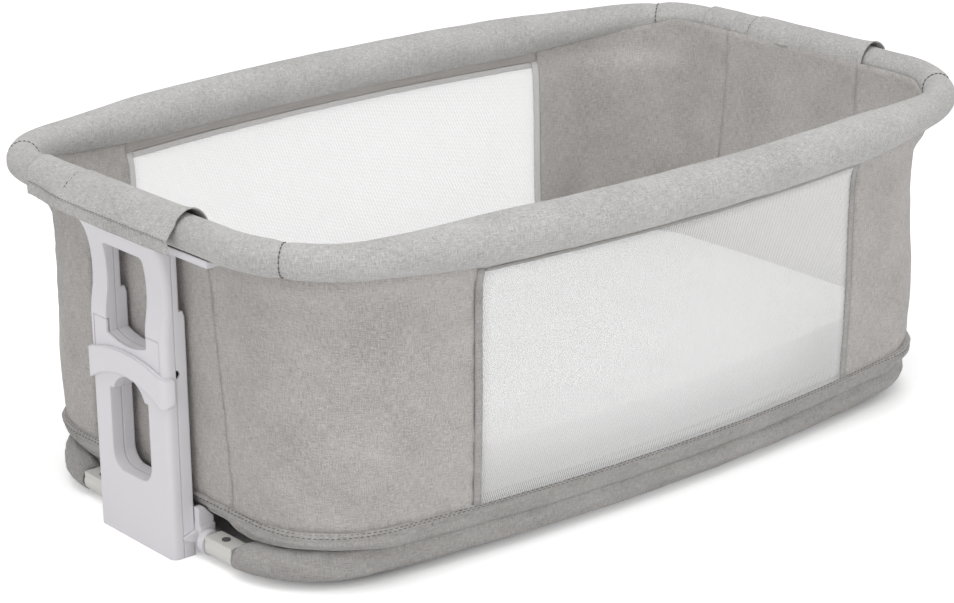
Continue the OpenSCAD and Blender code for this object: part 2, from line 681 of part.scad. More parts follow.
// Release slider: a U-shaped skin with a cam block behind its cross bar
module slider_outline(g, z0) {
    w = slider_half_w + g;
    difference() {
        translate([-w, z0]) square([2 * w, slider_leg_z + g - z0]);
        translate([-grip_half_w + g, grip_low_z + 20]) square([2 * (grip_half_w - g), 60]);
        translate([0, grip_low_z + grip_sag_r]) intersection() {
            circle(grip_sag_r - g, $fn = 2 * fine);
            translate([-grip_half_w + g, -grip_sag_r]) square([2 * (grip_half_w - g), 60]);
        }
    }
}
slot_w = peg_d + 2 * gap;
slot_turn = 45;
module cam_slot() {
    reach = norm([slide_travel, slide_travel]);
    translate([peg_y, bolt_z]) rotate(90 + slot_turn) {
        translate([0, -slot_w / 2]) square([reach, slot_w]);
        circle(slot_w / 2, $fn = fine);
        translate([reach, 0]) circle(slot_w / 2, $fn = fine);
    }
}
module release_slider() {
    x1 = face_x - gap;
    x0 = x1 - slider_skin;
    cut_x(x0, x1) slider_outline(0, slider_low_z);
    difference() {
        translate([x0 - slider_block_t, -cam_half_w, slider_low_z])
            cube([slider_block_t + eps, 2 * cam_half_w,
                grip_low_z - shell_t - gap - slider_low_z]);
        for (s = [0, 1]) mirror([0, s, 0]) cut_x(x0 - slider_block_t - 1, x0) cam_slot();
    }
}
module release_slider_left() { color(white_plastic) at_left() release_slider(); }
module release_slider_right() { color(white_plastic) release_slider(); }

// Return springs under the cam block
spring_y = cam_half_w - 4.5;
spring_low_z = slider_low_z - 14;
spring_r = 2.4;
wire_r = 0.4;
spring_turns = 4;
module spring() {
    h = slider_low_z - spring_low_z - 2 * wire_r;
    n = 12;
    ring = [for (i = [0:5]) [cos(60 * i), sin(60 * i)] * wire_r];
    steps = spring_turns * n;
    pts = [for (k = [0:steps]) let (a = 360 * k / n, z = h * k / steps)
        for (q = ring) [(spring_r + q.x) * cos(a), (spring_r + q.x) * sin(a), z + q.y]];
    skin = [for (k = [0:steps - 1]) for (i = [0:5]) let (j = (i + 1) % 6)
        each [[k * 6 + i, k * 6 + 6 + j, k * 6 + j], [k * 6 + i, k * 6 + 6 + i, k * 6 + 6 + j]]];
    polyhedron(pts, concat(skin, [[for (i = [0:5]) i]],
        [[for (i = [5:-1:0]) steps * 6 + i]]), convexity = 6);
}
module release_springs() {
    x = face_x - shell_t - gap - spring_r - wire_r;
    for (s = [-1, 1]) translate([x, s * spring_y, spring_low_z + wire_r]) spring();
}
module release_springs_left() { color(steel) at_left() release_springs(); }
module release_springs_right() { color(steel) release_springs(); }

// Latch bolt, drawn on the far side of the right upright
module latch_bolt() {
    translate([joint_x, bolt_inner_y, bolt_z]) rotate([-90, 0, 0])
        cylinder(h = bolt_len, d = bolt_d, $fn = fine);
    translate([joint_x, peg_y, bolt_z]) rotate([0, 90, 0])
        cylinder(h = outer_d - slider_skin - 2 * gap, d = peg_d, $fn = fine);
}
module latch_bolt_left_near() { color(steel) at_left() at_near() latch_bolt(); }
module latch_bolt_left_far() { color(steel) at_left() latch_bolt(); }
module latch_bolt_right_near() { color(steel) at_near() latch_bolt(); }
module latch_bolt_right_far() { color(steel) latch_bolt(); }

// Sockets: two steel sleeves that receive the stand's posts
module post_sockets() {
    for (s = [-1, 1]) translate([joint_x, s * stile_y, 0]) difference() {
        cylinder(h = socket_len, d = socket_d + 2 * socket_wall, $fn = fine);
        translate([0, 0, -1]) cylinder(h = socket_len + 2, d = socket_d, $fn = fine);
    }
}
module post_sockets_left() { color(steel) at_left() post_sockets(); }
module post_sockets_right() { color(steel) post_sockets(); }

// ---------- base ring ----------
// Puts +Y along the end arc at a given y
module at_end_y(y) {
    a = end_at(y);
    translate([end_centre(base_half_l).x + end_r * cos(a), end_r * sin(a), tube_z])
        rotate([0, 0, a]) children();
}
foot_half_w = conn_y - 2;
foot_t = 20;
foot_side = 8;
foot_h = 23;
pocket_side = 22;
collar_r = base_tube_d / 2 + 3;
fin_t = 4;
fin_z = 49;
lug_z = 20;
module foot_bracket() {
    x0 = base_half_l - foot_t / 2;
    difference() {
        union() {
            translate([x0, foot_side - foot_half_w, base_lift + 4])
                cube([back_x - gap - x0, 2 * (foot_half_w - foot_side), foot_h]);
            for (s = [0, 1]) mirror([0, s, 0]) {
                at_end_y(foot_half_w - 9) rotate([-90, 0, 0])
                    cylinder(h = 9, r = collar_r, $fn = fine);
                at_end_y(foot_half_w) rotate([-90, 0, 0])
                    cylinder(h = 12, d = base_tube_d - 2 * tube_wall - gap, $fn = fine);
                translate([0, upright_half_w + gap + fin_t + 4, 0]) rotate([90, 0, 0])
                    linear_extrude(fin_t + 4) polygon([[x0, base_lift + 6], [x0, hem_end_z - 2],
                        [wall_low_l + 1.5, fin_z], [back_x - gap, fin_z],
                        [back_x - gap, base_lift + 6]]);
                translate([0, upright_half_w + gap + fin_t, 0]) rotate([90, 0, 0])
                    linear_extrude(fin_t) polygon([[back_x - 1, lug_z - 7], [back_x - 1, lug_z + 6],
                        [back_x + 12, lug_z + 2], [back_x + 14, lug_z], [back_x + 12, lug_z - 2]]);
            }
        }
        translate([x0 + 4, pocket_side - foot_half_w, base_lift + 12])
            cube([foot_t, 2 * (foot_half_w - pocket_side), foot_h + 4]);
    }
}
module foot_bracket_left() { color(white_plastic) at_left() foot_bracket(); }
module foot_bracket_right() { color(white_plastic) foot_bracket(); }

// Point on the far half of the base ring's centre line at a given y near the right end
base_turn = end_angle(base_half_l, base_half_w, base_corner_r);
base_corner = corner_centre(base_half_l, base_half_w, base_corner_r);
function corner_at(y) = asin((y - base_corner.y) / base_corner_r);
function base_point(y) = y < end_r * sin(base_turn)
    ? end_centre(base_half_l) + end_r * [cos(end_at(y)), sin(end_at(y))]
    : base_corner + base_corner_r * [cos(corner_at(y)), sin(corner_at(y))];
conn_a = base_point(conn_y);
conn_b = base_point(conn_y + conn_len);
// Puts +Y along a connector's axis, starting at its inner end
module at_conn(along) {
    translate([conn_a.x, conn_a.y, tube_z]) rotate([0, 0, angle_to(conn_a, conn_b) - 90])
        translate([0, along, 0]) children();
}
// The tube's path through the connector: straight stretch, relief groove, start of the bend
module tube_way() {
    r = base_tube_d / 2 + run_gap;
    turn = base_corner + base_corner_r * [cos(base_turn), sin(base_turn)];
    end_sweep(base_half_l, end_at(conn_y - 2), base_turn, tube_z) circle(r, $fn = fine);
    corner_sweep(base_half_l, base_half_w, base_corner_r, base_turn, base_turn + 20, tube_z)
        circle(r, $fn = fine);
    translate([turn.x, turn.y, tube_z]) rotate([0, 0, base_turn]) rotate([90, 0, 0])
        cylinder(h = 3, r = r + gap, center = true, $fn = fine);
}
// The barrel holds the tube; the block on top holds the button
module connector() {
    difference() {
        at_conn(0) {
            rotate([-90, 0, 0]) cylinder(h = conn_len, d = conn_d, $fn = fine);
            translate([-block_half_x, 0, 0]) cube([block_w, conn_len, block_out]);
        }
        tube_way();
        at_conn(button_off) cylinder(h = sleeve_d, d = button_d + 2 * run_gap, $fn = fine);
    }
}
module connector_left_near() { color(cream_plastic) at_left() at_near() connector(); }
module connector_left_far() { color(cream_plastic) at_left() connector(); }
module connector_right_near() { color(cream_plastic) at_near() connector(); }
module connector_right_far() { color(cream_plastic) connector(); }

button_proud = 1.2;
module snap_button() {
    z0 = base_tube_d / 2 - 4;
    z1 = block_out + button_proud;
    at_conn(button_off) translate([0, 0, z0]) cylinder(h = z1 - z0, d = button_d, $fn = fine);
}
module snap_button_left_near() { color(button_grey) at_left() at_near() snap_button(); }
module snap_button_left_far() { color(button_grey) at_left() snap_button(); }
module snap_button_right_near() { color(button_grey) at_near() snap_button(); }
module snap_button_right_far() { color(button_grey) snap_button(); }

module base_tube_half() {
    difference() {
        half_ring(base_half_l, base_half_w, base_corner_r, conn_y + gap, tube_z,
            base_tube_d / 2 - tube_wall, base_tube_d / 2, base_tube_d / 2 - tube_wall - 1);
        for (s = [0, 1]) mirror([s, 0, 0]) at_conn(button_off)
            cylinder(h = base_tube_d, d = button_d + 2 * gap, $fn = fine);
    }
}
module base_sleeve_half() {
    r = base_tube_d / 2 + gap;
    sa = side_angle(base_half_l, base_half_w, base_corner_r);
    a0 = corner_at(conn_y + conn_len + 2);
    side_sweep(base_half_w, 90 - sa, base_z) sleeve_profile(r);
    for (s = [0, 1]) mirror([s, 0, 0]) {
        corner_sweep(base_half_l, base_half_w, base_corner_r, a0, sa - trim(base_corner_r), base_z)
            sleeve_profile(r);
        joint_ring(base_half_l, base_half_w, base_corner_r, sa, base_z, r + 0.8, sleeve_r - gap,
            tube_drop);
    }
}
module sleeve_profile(r) {
    difference() {
        circle(sleeve_r, $fn = fine);
        translate([0, -tube_drop]) circle(r, $fn = fine);
    }
}
module base_tube_near() { color(steel) at_near() base_tube_half(); }
module base_tube_far() { color(steel) base_tube_half(); }
module base_sleeve_near() { color(cloth_dark) at_near() base_sleeve_half(); }
module base_sleeve_far() { color(cloth_dark) base_sleeve_half(); }

// ---------- fabric walls ----------
// A wall level is [half length, half width, corner radius, height]
function wall_level(z) =
    let (u = (z - wall_low_z) / (wall_top_z - wall_low_z))
    [wall_low_l + (wall_top_l - wall_low_l) * u, wall_low_w + (wall_top_w - wall_low_w) * u,
        wall_low_r + (wall_top_r - wall_low_r) * u, z];
function inset(v, t) = [v[0] - t, v[1] - t, v[2] - t, v[3]];
function clockwise(p, sx, sy) = sx * sy > 0 ? flip(p, sx, sy) : reversed(flip(p, sx, sy));
function corner_panel(v, x, y, sx, sy) =
    at_z(clockwise(quarter(v[0], v[1], v[2], x, y), sx, sy), v[3]);
function side_panel(v, x0, x1, sy) =
    at_z(clockwise(side_path(v[1], x0, x1, 12), 1, sy), v[3]);
function end_panel(v, y, sx) = at_z(clockwise(end_path(v[0], y, -y, 4), sx, 1), v[3]);
// How far a plan point lies outside a ring's centre line
function ring_offset(p, l, w, r) =
    let (q = [abs(p.x), abs(p.y)], c = corner_centre(l, w, r), a = angle_to(c, q))
    a < end_angle(l, w, r)
        ? norm(q - end_centre(l)) - end_r
        : a > side_angle(l, w, r)
            ? norm(q - side_centre(w)) - side_r
            : norm(q - c) - r;
// Lifts a wall's top edge to the underside, or the inner side, of the padded rail
function under_pad(path) = [for (p = path)
    let (d = ring_offset(p, rail_half_l, rail_half_w, rail_corner_r), r = pad_r_at(p.x) + 0.1)
    [p.x, p.y, pad_z_at(p.x) - gap - sqrt(max(r * r - d * d, 0))]];

wall_zs = [wall_low_z, (wall_low_z + wall_top_z) / 2];
module wall_corner(x, sx, sy) {
    function path(z, t) = corner_panel(inset(wall_level(z), t), x, end_panel_w, sx, sy);
    sheet(concat([for (z = wall_zs) path(z, 0)], [under_pad(path(wall_top_z, 0))]),
        concat([for (z = wall_zs) path(z, fabric_t)], [under_pad(path(wall_top_z, fabric_t))]));
}
module wall_end(sx) {
    function path(z, t) = end_panel(inset(wall_level(z), t), end_panel_w - gap, sx);
    sheet(concat([for (z = wall_zs) path(z, 0)], [under_pad(path(wall_top_z, 0))]),
        concat([for (z = wall_zs) path(z, fabric_t)], [under_pad(path(wall_top_z, fabric_t))]));
}
module side_sheet(x0, x1, z0, z1, t, sy) {
    zs = [z0, z1];
    sheet([for (z = zs) side_panel(wall_level(z), x0, x1, sy)],
        [for (z = zs) side_panel(inset(wall_level(z), t), x0, x1, sy)]);
}
module mesh_window(l, z, sy) {
    side_sheet(-l, l, wall_low_z, z, mesh_t, sy);
}
module window_tape(l, z, sy) {
    for (s = [-1, 1]) side_sheet(min(s * l, s * (l + tape_w)), max(s * l, s * (l + tape_w)),
        wall_low_z, z, fabric_t, sy);
    side_sheet(-l - tape_w, l + tape_w, z, z + tape_w, fabric_t, sy);
}
module window_header(l, z, sy) {
    side_sheet(-l - tape_w, l + tape_w, z + tape_w, wall_top_z, fabric_t, sy);
}
module wall_near_left() { color(cloth) wall_corner(window_near_l + tape_w, -1, -1); }
module wall_near_right() { color(cloth) wall_corner(window_near_l + tape_w, 1, -1); }
module wall_far_left() { color(cloth) wall_corner(window_far_l + tape_w, -1, 1); }
module wall_far_right() { color(cloth) wall_corner(window_far_l + tape_w, 1, 1); }
module wall_end_left() { color(cloth) wall_end(-1); }
module wall_end_right() { color(cloth) wall_end(1); }
module mesh_window_near() { color(mesh_white) mesh_window(window_near_l, window_near_z, -1); }
module mesh_window_far() { color(mesh_white) mesh_window(window_far_l, window_far_z, 1); }
module window_tape_near() { color(cloth_dark) window_tape(window_near_l, window_near_z, -1); }
module window_header_near() { color(cloth) window_header(window_near_l, window_near_z, -1); }
module window_tape_far() { color(cloth_dark) window_tape(window_far_l, window_far_z, 1); }
module window_header_far() { color(cloth) window_header(window_far_l, window_far_z, 1); }

// Hem band: joins the walls to the base ring's sleeve, all the way round.
// Its lower edge lies on the sleeve, and rises over the connectors at the ends.
hem_out = 14;
hem_low_z = base_z + sqrt(pow(sleeve_r + 1, 2) - pow(hem_out - fabric_t, 2));
hem_end_z = base_z + sleeve_r;
hem_low = [base_half_l - foot_t / 2 - 2 * gap, base_half_w + hem_out, base_corner_r + hem_out,
    hem_low_z];
hem_top = [wall_low_l, wall_low_w, wall_low_r, wall_low_z - eps];
function hem_edge_z(p) =
    let (d = ring_offset(p, base_half_l, base_half_w, base_corner_r), r = sleeve_r + 1)
    max(base_z + sqrt(max(r * r - d * d, 0)), abs(p.y) < conn_y + conn_len + 20 ? hem_end_z : 0);
function ring_plan(v) = closed_ring(v[0], v[1], v[2]);
function hem_edge(t) =
    let (p = ring_plan(inset(hem_low, t)), q = ring_plan(inset(hem_low, fabric_t)))
    [for (i = [0:len(p) - 1]) [p[i].x, p[i].y, hem_edge_z(q[i])]];
function between(a, b, u) = a + (b - a) * u;
module hem_band() {
    color(cloth_dark) sheet([hem_edge(0), at_z(ring_plan(hem_top), hem_top[3])],
        [hem_edge(fabric_t), at_z(ring_plan(inset(hem_top, fabric_t)), hem_top[3])], ring = true);
}
// Zip tape: lies on the outside of the hem band
zip_t = 1.2;
zip_u = 0.35;
zip_du = zip_w / (wall_low_z - hem_low_z);
module zip_tape(sy) {
    levels = [between(hem_low, hem_top, zip_u), between(hem_low, hem_top, zip_u + zip_du)];
    sheet([for (v = levels) side_panel(inset(v, -zip_t - gap), -zip_half_l, zip_half_l, sy)],
        [for (v = levels) side_panel(inset(v, -gap), -zip_half_l, zip_half_l, sy)]);
}
module zip_tape_near() { color(cloth_dark) zip_tape(-1); }
module zip_tape_far() { color(cloth_dark) zip_tape(1); }

// Zip slider: parked at the left end of the far zip; it follows the side's plan arc
slider_l = 9;
slider_h = 7;
slider_t = 3;
pull_l = 24;
zip_slider_x = -zip_half_l + 12;
module zip_slider() {
    v = between(hem_low, hem_top, zip_u + zip_du);
    c = side_centre(v[1]);
    a = side_at(zip_slider_x);
    r = side_r + zip_t + 2 * gap;
    z = v[3] - slider_h;
    color(steel) translate([c.x, c.y, z]) rotate([0, 0, a]) {
        translate([r, -slider_l / 2, 0]) cube([slider_t, slider_l, slider_h]);
        translate([r + slider_t - 1, -2.5, 3 - pull_l + slider_h]) cube([1.6, 5, pull_l - 4]);
    }
}

// ---------- floor and mattress ----------
module plan_slab(l, w, r, z, t) {
    translate([0, 0, z]) linear_extrude(t) polygon(closed_ring(l, w, r));
}
floor_z = base_z + sleeve_r - floor_t;
floor_inset = sleeve_r + gap;
module floor_panel() {
    color(cloth_dark) plan_slab(base_half_l - floor_inset, base_half_w - floor_inset,
        base_corner_r - floor_inset, floor_z, floor_t);
}
module mattress() {
    t = floor_inset + mattress_gap;
    color(mesh_white) plan_slab(base_half_l - t, base_half_w - t, base_corner_r - t,
        floor_z + floor_t + gap, mattress_t);
}

rail_tube_near();
rail_tube_far();
rail_pad_near();
rail_pad_far();
rail_pad_left();
rail_pad_right();
rail_flap_left();
rail_flap_right();
rail_bracket_left();
rail_bracket_right();
rail_screws();
outer_shell_left();
outer_shell_right();
inner_shell_left();
inner_shell_right();
release_slider_left();
release_slider_right();
release_springs_left();
release_springs_right();
latch_bolt_left_near();
latch_bolt_left_far();
latch_bolt_right_near();
latch_bolt_right_far();
post_sockets_left();
post_sockets_right();
shell_screws();
foot_bracket_left();
foot_bracket_right();
connector_left_near();
connector_left_far();
connector_right_near();
connector_right_far();
snap_button_left_near();
snap_button_left_far();
snap_button_right_near();
snap_button_right_far();
base_tube_near();
base_tube_far();
base_sleeve_near();
base_sleeve_far();
wall_near_left();
wall_near_right();
wall_far_left();
wall_far_right();
wall_end_left();
wall_end_right();
mesh_window_near();
mesh_window_far();
window_tape_near();
window_tape_far();
window_header_near();
window_header_far();
hem_band();
zip_tape_near();
zip_tape_far();
zip_slider();
floor_panel();
mattress();
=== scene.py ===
import bpy
import json
import math
from mathutils import Matrix, Vector, noise


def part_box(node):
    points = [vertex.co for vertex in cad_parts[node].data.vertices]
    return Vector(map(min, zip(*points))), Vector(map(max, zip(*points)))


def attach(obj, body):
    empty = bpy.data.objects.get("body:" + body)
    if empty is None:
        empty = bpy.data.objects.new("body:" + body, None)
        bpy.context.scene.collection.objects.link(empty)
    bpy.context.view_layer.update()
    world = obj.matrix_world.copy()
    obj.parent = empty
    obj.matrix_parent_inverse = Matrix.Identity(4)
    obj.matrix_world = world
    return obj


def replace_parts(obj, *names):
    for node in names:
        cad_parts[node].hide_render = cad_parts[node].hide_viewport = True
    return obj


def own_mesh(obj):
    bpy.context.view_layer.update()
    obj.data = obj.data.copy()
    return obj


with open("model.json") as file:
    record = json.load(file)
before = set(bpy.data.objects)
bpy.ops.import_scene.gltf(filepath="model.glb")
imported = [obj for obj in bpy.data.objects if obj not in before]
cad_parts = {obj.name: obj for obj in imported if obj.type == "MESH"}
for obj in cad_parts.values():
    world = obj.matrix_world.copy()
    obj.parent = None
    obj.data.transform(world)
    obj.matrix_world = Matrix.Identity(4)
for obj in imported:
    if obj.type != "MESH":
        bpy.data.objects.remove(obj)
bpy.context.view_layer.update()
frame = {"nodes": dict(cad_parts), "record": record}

# ---------- Camera ----------
# Stands to the left of the basket's near end, a little above the rail, with a long lens.
TURN, LIFT, ROLL = math.radians(-40.61), math.radians(19.45), math.radians(-0.375)
back = Vector((math.sin(TURN) * math.cos(LIFT), -math.cos(TURN) * math.cos(LIFT), math.sin(LIFT)))
level = Vector((0, 0, 1)).cross(back).normalized()
upward = back.cross(level)
across = level * math.cos(ROLL) + upward * math.sin(ROLL)
upward = upward * math.cos(ROLL) - level * math.sin(ROLL)
camera = bpy.data.objects.new("camera", bpy.data.cameras.new("camera"))
bpy.context.scene.collection.objects.link(camera)
camera.matrix_world = Matrix.Translation(Vector((0.003, -0.0015, 0.1345)) + back * 2.836) @ Matrix(
    (across, upward, back)).transposed().to_4x4()
camera.data.lens = 104.64
camera.data.shift_x = -0.0269
camera.data.shift_y = -0.0020
bpy.context.scene.camera = camera


# ---------- Woven cloth ----------
# The grey melange linen of the rail, walls, flaps and hem: a plain weave of light and dark
# threads with short slubs both ways, coloured in cloudy patches.
def colour(code):
    parts = [int(code[i:i + 2], 16) / 255 for i in (1, 3, 5)]
    return [c / 12.92 if c <= 0.04045 else ((c + 0.055) / 1.055) ** 2.4 for c in parts] + [1]


def node(tree, kind, inputs=(), **settings):
    n = tree.nodes.new("ShaderNode" + kind)
    for key, value in settings.items():
        setattr(n, key, value)
    for key, value in dict(inputs).items():
        if isinstance(value, bpy.types.NodeSocket):
            tree.links.new(value, n.inputs[key])
        else:
            n.inputs[key].default_value = value
    return n


def new_material(name):
    material = bpy.data.materials.new(name)
    material.use_nodes = True
    tree = material.node_tree
    tree.nodes.clear()
    return material, tree


def streaks(tree, uv, along, over, detail=2.0):
    """Noise drawn out into threads: along and over are a thread's size in metres, u and v."""
    size = node(tree, "Mapping", {"Vector": uv, "Scale": (1 / along, 1 / over, 1)})
    return node(tree, "TexNoise", {"Vector": size.outputs[0], "Scale": 1.0, "Detail": detail,
                                   "Roughness": 0.6}).outputs["Fac"]


def math_node(tree, operation, a, b=0.0, c=0.0):
    return node(tree, "Math", {0: a, 1: b, 2: c}, operation=operation).outputs[0]


def ramp(tree, value, stops):
    n = node(tree, "ValToRGB", {"Fac": value})
    for i, (at, code) in enumerate(stops):
        e = n.color_ramp.elements[i] if i < 2 else n.color_ramp.elements.new(at)
        e.position = at
        e.color = colour(code)
    return n.outputs["Color"]


def woven(name, dark, middle, light, slub=1.0, weave=0.0011, bump=0.35, cloudy=0.5):
    material, tree = new_material(name)
    uv = node(tree, "UVMap", uv_map="UVMap").outputs[0]
    weft = streaks(tree, uv, 0.014 * slub, 0.0008)
    warp = streaks(tree, uv, 0.0008, 0.014 * slub)
    fine = streaks(tree, uv, 0.0015, 0.0015, 3.0)
    cloud = streaks(tree, uv, 0.07, 0.05, 2.0)
    threads = math_node(tree, "ADD", weft, warp)
    threads = math_node(tree, "MULTIPLY_ADD", fine, 0.6, threads)
    tone = math_node(tree, "MULTIPLY_ADD", cloud, cloudy, threads)
    tone = node(tree, "MapRange", {"Value": tone, "From Min": 1.0 + 0.3 * cloudy,
                                   "From Max": 1.6 + 0.7 * cloudy}).outputs[0]
    base = ramp(tree, tone, [(0.12, dark), (0.88, light), (0.5, middle)])
    # Over-and-under of the weave, with the slubs standing proud
    turns = node(tree, "Mapping", {"Vector": uv, "Scale": (math.pi / weave, math.pi / weave, 1)})
    xy = node(tree, "SeparateXYZ", {0: turns.outputs[0]}).outputs
    knit = math_node(tree, "MULTIPLY", math_node(tree, "SINE", xy[0]),
                     math_node(tree, "SINE", xy[1]))
    height = math_node(tree, "MULTIPLY_ADD", threads, 0.9, math_node(tree, "MULTIPLY", knit, 0.3))
    relief = node(tree, "Bump", {"Height": height, "Strength": bump, "Distance": 0.0012})
    rough = node(tree, "MapRange", {"Value": threads, "From Min": 0.8, "From Max": 1.8,
                                    "To Min": 0.98, "To Max": 0.82}).outputs[0]
    shader = node(tree, "BsdfPrincipled", {"Base Color": base, "Roughness": rough,
                                           "Normal": relief.outputs[0], "Sheen Weight": 0.12,
                                           "Sheen Roughness": 0.5, "Specular IOR Level": 0.15})
    node(tree, "OutputMaterial", {"Surface": shader.outputs[0]})
    return material


# The rail's copy of the linen is painted lighter than the walls', for the light that falls on the
# rail's top; the flaps share it.
rail_cloth_painted_lighter = woven("melange_linen_rail_painted_lighter", "#A3A2A0", "#BEBDBB", "#D3D2D0", 0.6, 0.0011, 0.22, 0.4)
wall_cloth = woven("melange_linen_wall", "#A19D9A", "#B9B5B2", "#CBC8C5", 0.6, 0.0011, 0.25, 0.5)
hem_cloth = woven("melange_linen_hem", "#959290", "#ACA9A7", "#BFBDBB", 0.6, 0.0011, 0.25, 0.5)


# ---------- Plan rings ----------
# Every ring of the basket is tangent arcs: two long sides, two ends and four corners.
# Length along a ring runs anticlockwise seen from above, from the middle of the near side.
class Ring:
    side_r, end_r = 2.0, 6.0

    def __init__(self, half_l, half_w, corner_r):
        s = Vector((0, half_w - self.side_r))
        e = Vector((half_l - self.end_r, 0))
        a, b, d = self.side_r - corner_r, self.end_r - corner_r, (e - s).length
        t = (a * a - b * b + d * d) / (2 * d)
        u = (e - s) / d
        c = s + t * u + math.sqrt(a * a - t * t) * Vector((-u.y, u.x)) * (-1 if u.x < 0 else 1)
        a1 = math.atan2(c.y - s.y, c.x - s.x)
        a2 = math.atan2(c.y - e.y, c.x - e.x)
        self.arcs = [(s, self.side_r, math.pi / 2, a1), (c, corner_r, a1, a2),
                     (e, self.end_r, a2, 0.0)]
        self.quarter = sum(r * (p - q) for _, r, p, q in self.arcs)

    def at(self, s):
        """(point, outward direction) at length s."""
        k, t = divmod(s, self.quarter)
        k = int(k) % 4
        t = self.quarter - t if k % 2 else t
        for c, r, p, q in self.arcs:
            if t <= r * (p - q) or (c, r, p, q) == self.arcs[-1]:
                break
            t -= r * (p - q)
        n = Vector((math.cos(p - t / r), math.sin(p - t / r)))
        flip = Vector(((1, 1, -1, -1)[k], (-1, 1, 1, -1)[k]))
        return Vector((c + r * n)) * flip, n * flip

    def find(self, value, axis):
        """Length from the side's middle at which x, or y, has this value, in one quarter."""
        low, high = 0.0, self.quarter
        for _ in range(50):
            mid = (low + high) / 2
            v = abs(self.at(mid)[0][axis])
            if (v < abs(value)) == (axis == 0):
                low = mid
            else:
                high = mid
        return low

    def where(self, side, value):
        q = self.quarter
        if side in ("near", "far"):
            s = math.copysign(self.find(value, 0), value)
            return s if side == "near" else 2 * q - s
        s = math.copysign(q - self.find(value, 1), value)
        return q + s if side == "right" else -q - s

    def offset(self, p):
        """How far a plan point lies outside the ring."""
        p = Vector((abs(p.x), abs(p.y)))
        (s, sr, _, a1), (c, r, _, a2), (e, er, _, _) = self.arcs
        a = math.atan2(p.y - c.y, p.x - c.x)
        if a < a2:
            return (p - e).length - er
        return (p - s).length - sr if a > a1 else (p - c).length - r


# ---------- Making pieces ----------
def select(o):
    bpy.ops.object.select_all(action="DESELECT")
    o.select_set(True)
    bpy.context.view_layer.objects.active = o


def apply_all(o):
    select(o)
    for m in list(o.modifiers):
        bpy.ops.object.modifier_apply(modifier=m.name)


def piece(name, points, faces, material, slot, uvs=None, body="frame"):
    mesh = bpy.data.meshes.new(name)
    mesh.from_pydata([tuple(p) for p in points], [], faces)
    if uvs:
        layer = mesh.uv_layers.new(name="UVMap")
        flat = [c for face in uvs for uv in face for c in uv]
        layer.data.foreach_set("uv", flat)
    mesh.materials.append(material)
    mesh.shade_smooth()
    o = bpy.data.objects.new(name, mesh)
    bpy.context.scene.collection.objects.link(o)
    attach(o, body)
    return o


def grid(name, place, nu, nv, size, material, slot, round_u=False, round_v=False, body="frame"):
    """A surface of nu by nv cells: place(a, b) gives a point for a and b from 0 to 1."""
    mu, mv = nu + (not round_u), nv + (not round_v)
    points = [place(i / nu, j / nv) for j in range(mv) for i in range(mu)]
    faces, uvs = [], []
    for j in range(nv):
        for i in range(nu):
            cell = [(i, j), (i + 1, j), (i + 1, j + 1), (i, j + 1)]
            faces.append([(q % mv) * mu + p % mu for p, q in cell])
            uvs.append([(p / nu * size[0], q / nv * size[1]) for p, q in cell])
    return piece(name, points, faces, material, slot, uvs, body)


def sheet_of(o, thick):
    """Gives a surface its cloth's thickness, inwards from the face that shows."""
    m = o.modifiers.new("thick", "SOLIDIFY")
    m.thickness, m.offset = thick, -1.0
    m.use_even_offset = False
    apply_all(o)


def ease(x, low, high):
    u = min(max((x - low) / (high - low), 0.0), 1.0)
    return u * u * (3 - 2 * u)


def wave(*p):
    """Smooth noise from -1 to 1, the same every run."""
    return noise.noise(Vector(p + (0.37,) * (3 - len(p))))


# ---------- Padded rail ----------
# Foam round a steel ring, covered in four tubes of the melange cloth that are sewn end to end
# at the corners. The seams pull the foam in, and the cloth puckers beside them.
RAIL_HALF = 0.443
rail = Ring(RAIL_HALF, 0.283, 0.106)
quarter = rail.quarter
SEAM = math.radians(36)
soft = []


def pad_r(x):
    return 0.02425 - 0.00695 * ease(abs(x), 0.215, 0.398)


def pad_z(x):
    return 0.318 + 0.009 * min(abs(x) / RAIL_HALF, 1) ** 6


_, corner_r, corner_a, _ = rail.arcs[1]
seam_s = rail.arcs[0][1] * (rail.arcs[0][2] - rail.arcs[0][3]) + corner_r * (corner_a - SEAM)


def rail_pad(name, s0, s1, shrink, seed):
    length = s1 - s0
    nu = round(length / 0.0075)

    def place(a, b):
        s = s0 + 0.0001 + a * (length - 0.0002)
        p, n = rail.at(s)
        turn = 2 * math.pi * b - 1.9
        edge = min(a, 1 - a) * length
        pinch = 0.0017 * math.exp(-edge / 0.004)
        pucker = 0.0009 * math.exp(-edge / 0.018) * math.sin(9 * turn + 5 * wave(seed, turn))
        ripple = 0.0007 * wave(s * 22, math.cos(turn), math.sin(turn) + seed)
        # The long seam of each tube runs underneath, where its turn starts
        dent = 0.0013 * math.exp(-abs(b * 2 * math.pi * 0.02) / 0.004)
        r = pad_r(p.x) - shrink - pinch + (pucker + ripple) * min(edge / 0.003, 1) - dent
        q = p + n * r * math.cos(turn)
        return (q.x, q.y, pad_z(p.x) + r * math.sin(turn))

    nv = 28
    o = grid(name, place, nu, nv, (length, 0.14), rail_cloth_painted_lighter, "cloth", round_v=True)
    pin = o.vertex_groups.new(name="pin")
    for j in range(nv):
        for i in (0, 1, nu - 1, nu):
            pin.add([j * (nu + 1) + i], 1.0 if i in (0, nu) else 0.6, "REPLACE")
    soft.append((o, 0.0022))
    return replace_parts(o, name.replace("cover_", "rail_pad_"))


rail_pad("cover_near", -seam_s, seam_s, 0.0008, 1.0)
rail_pad("cover_right", seam_s, 2 * quarter - seam_s, 0.0006, 2.0)
rail_pad("cover_far", 2 * quarter - seam_s, 2 * quarter + seam_s, 0.0008, 3.0)
rail_pad("cover_left", 2 * quarter + seam_s, 4 * quarter - seam_s, 0.0006, 4.0)


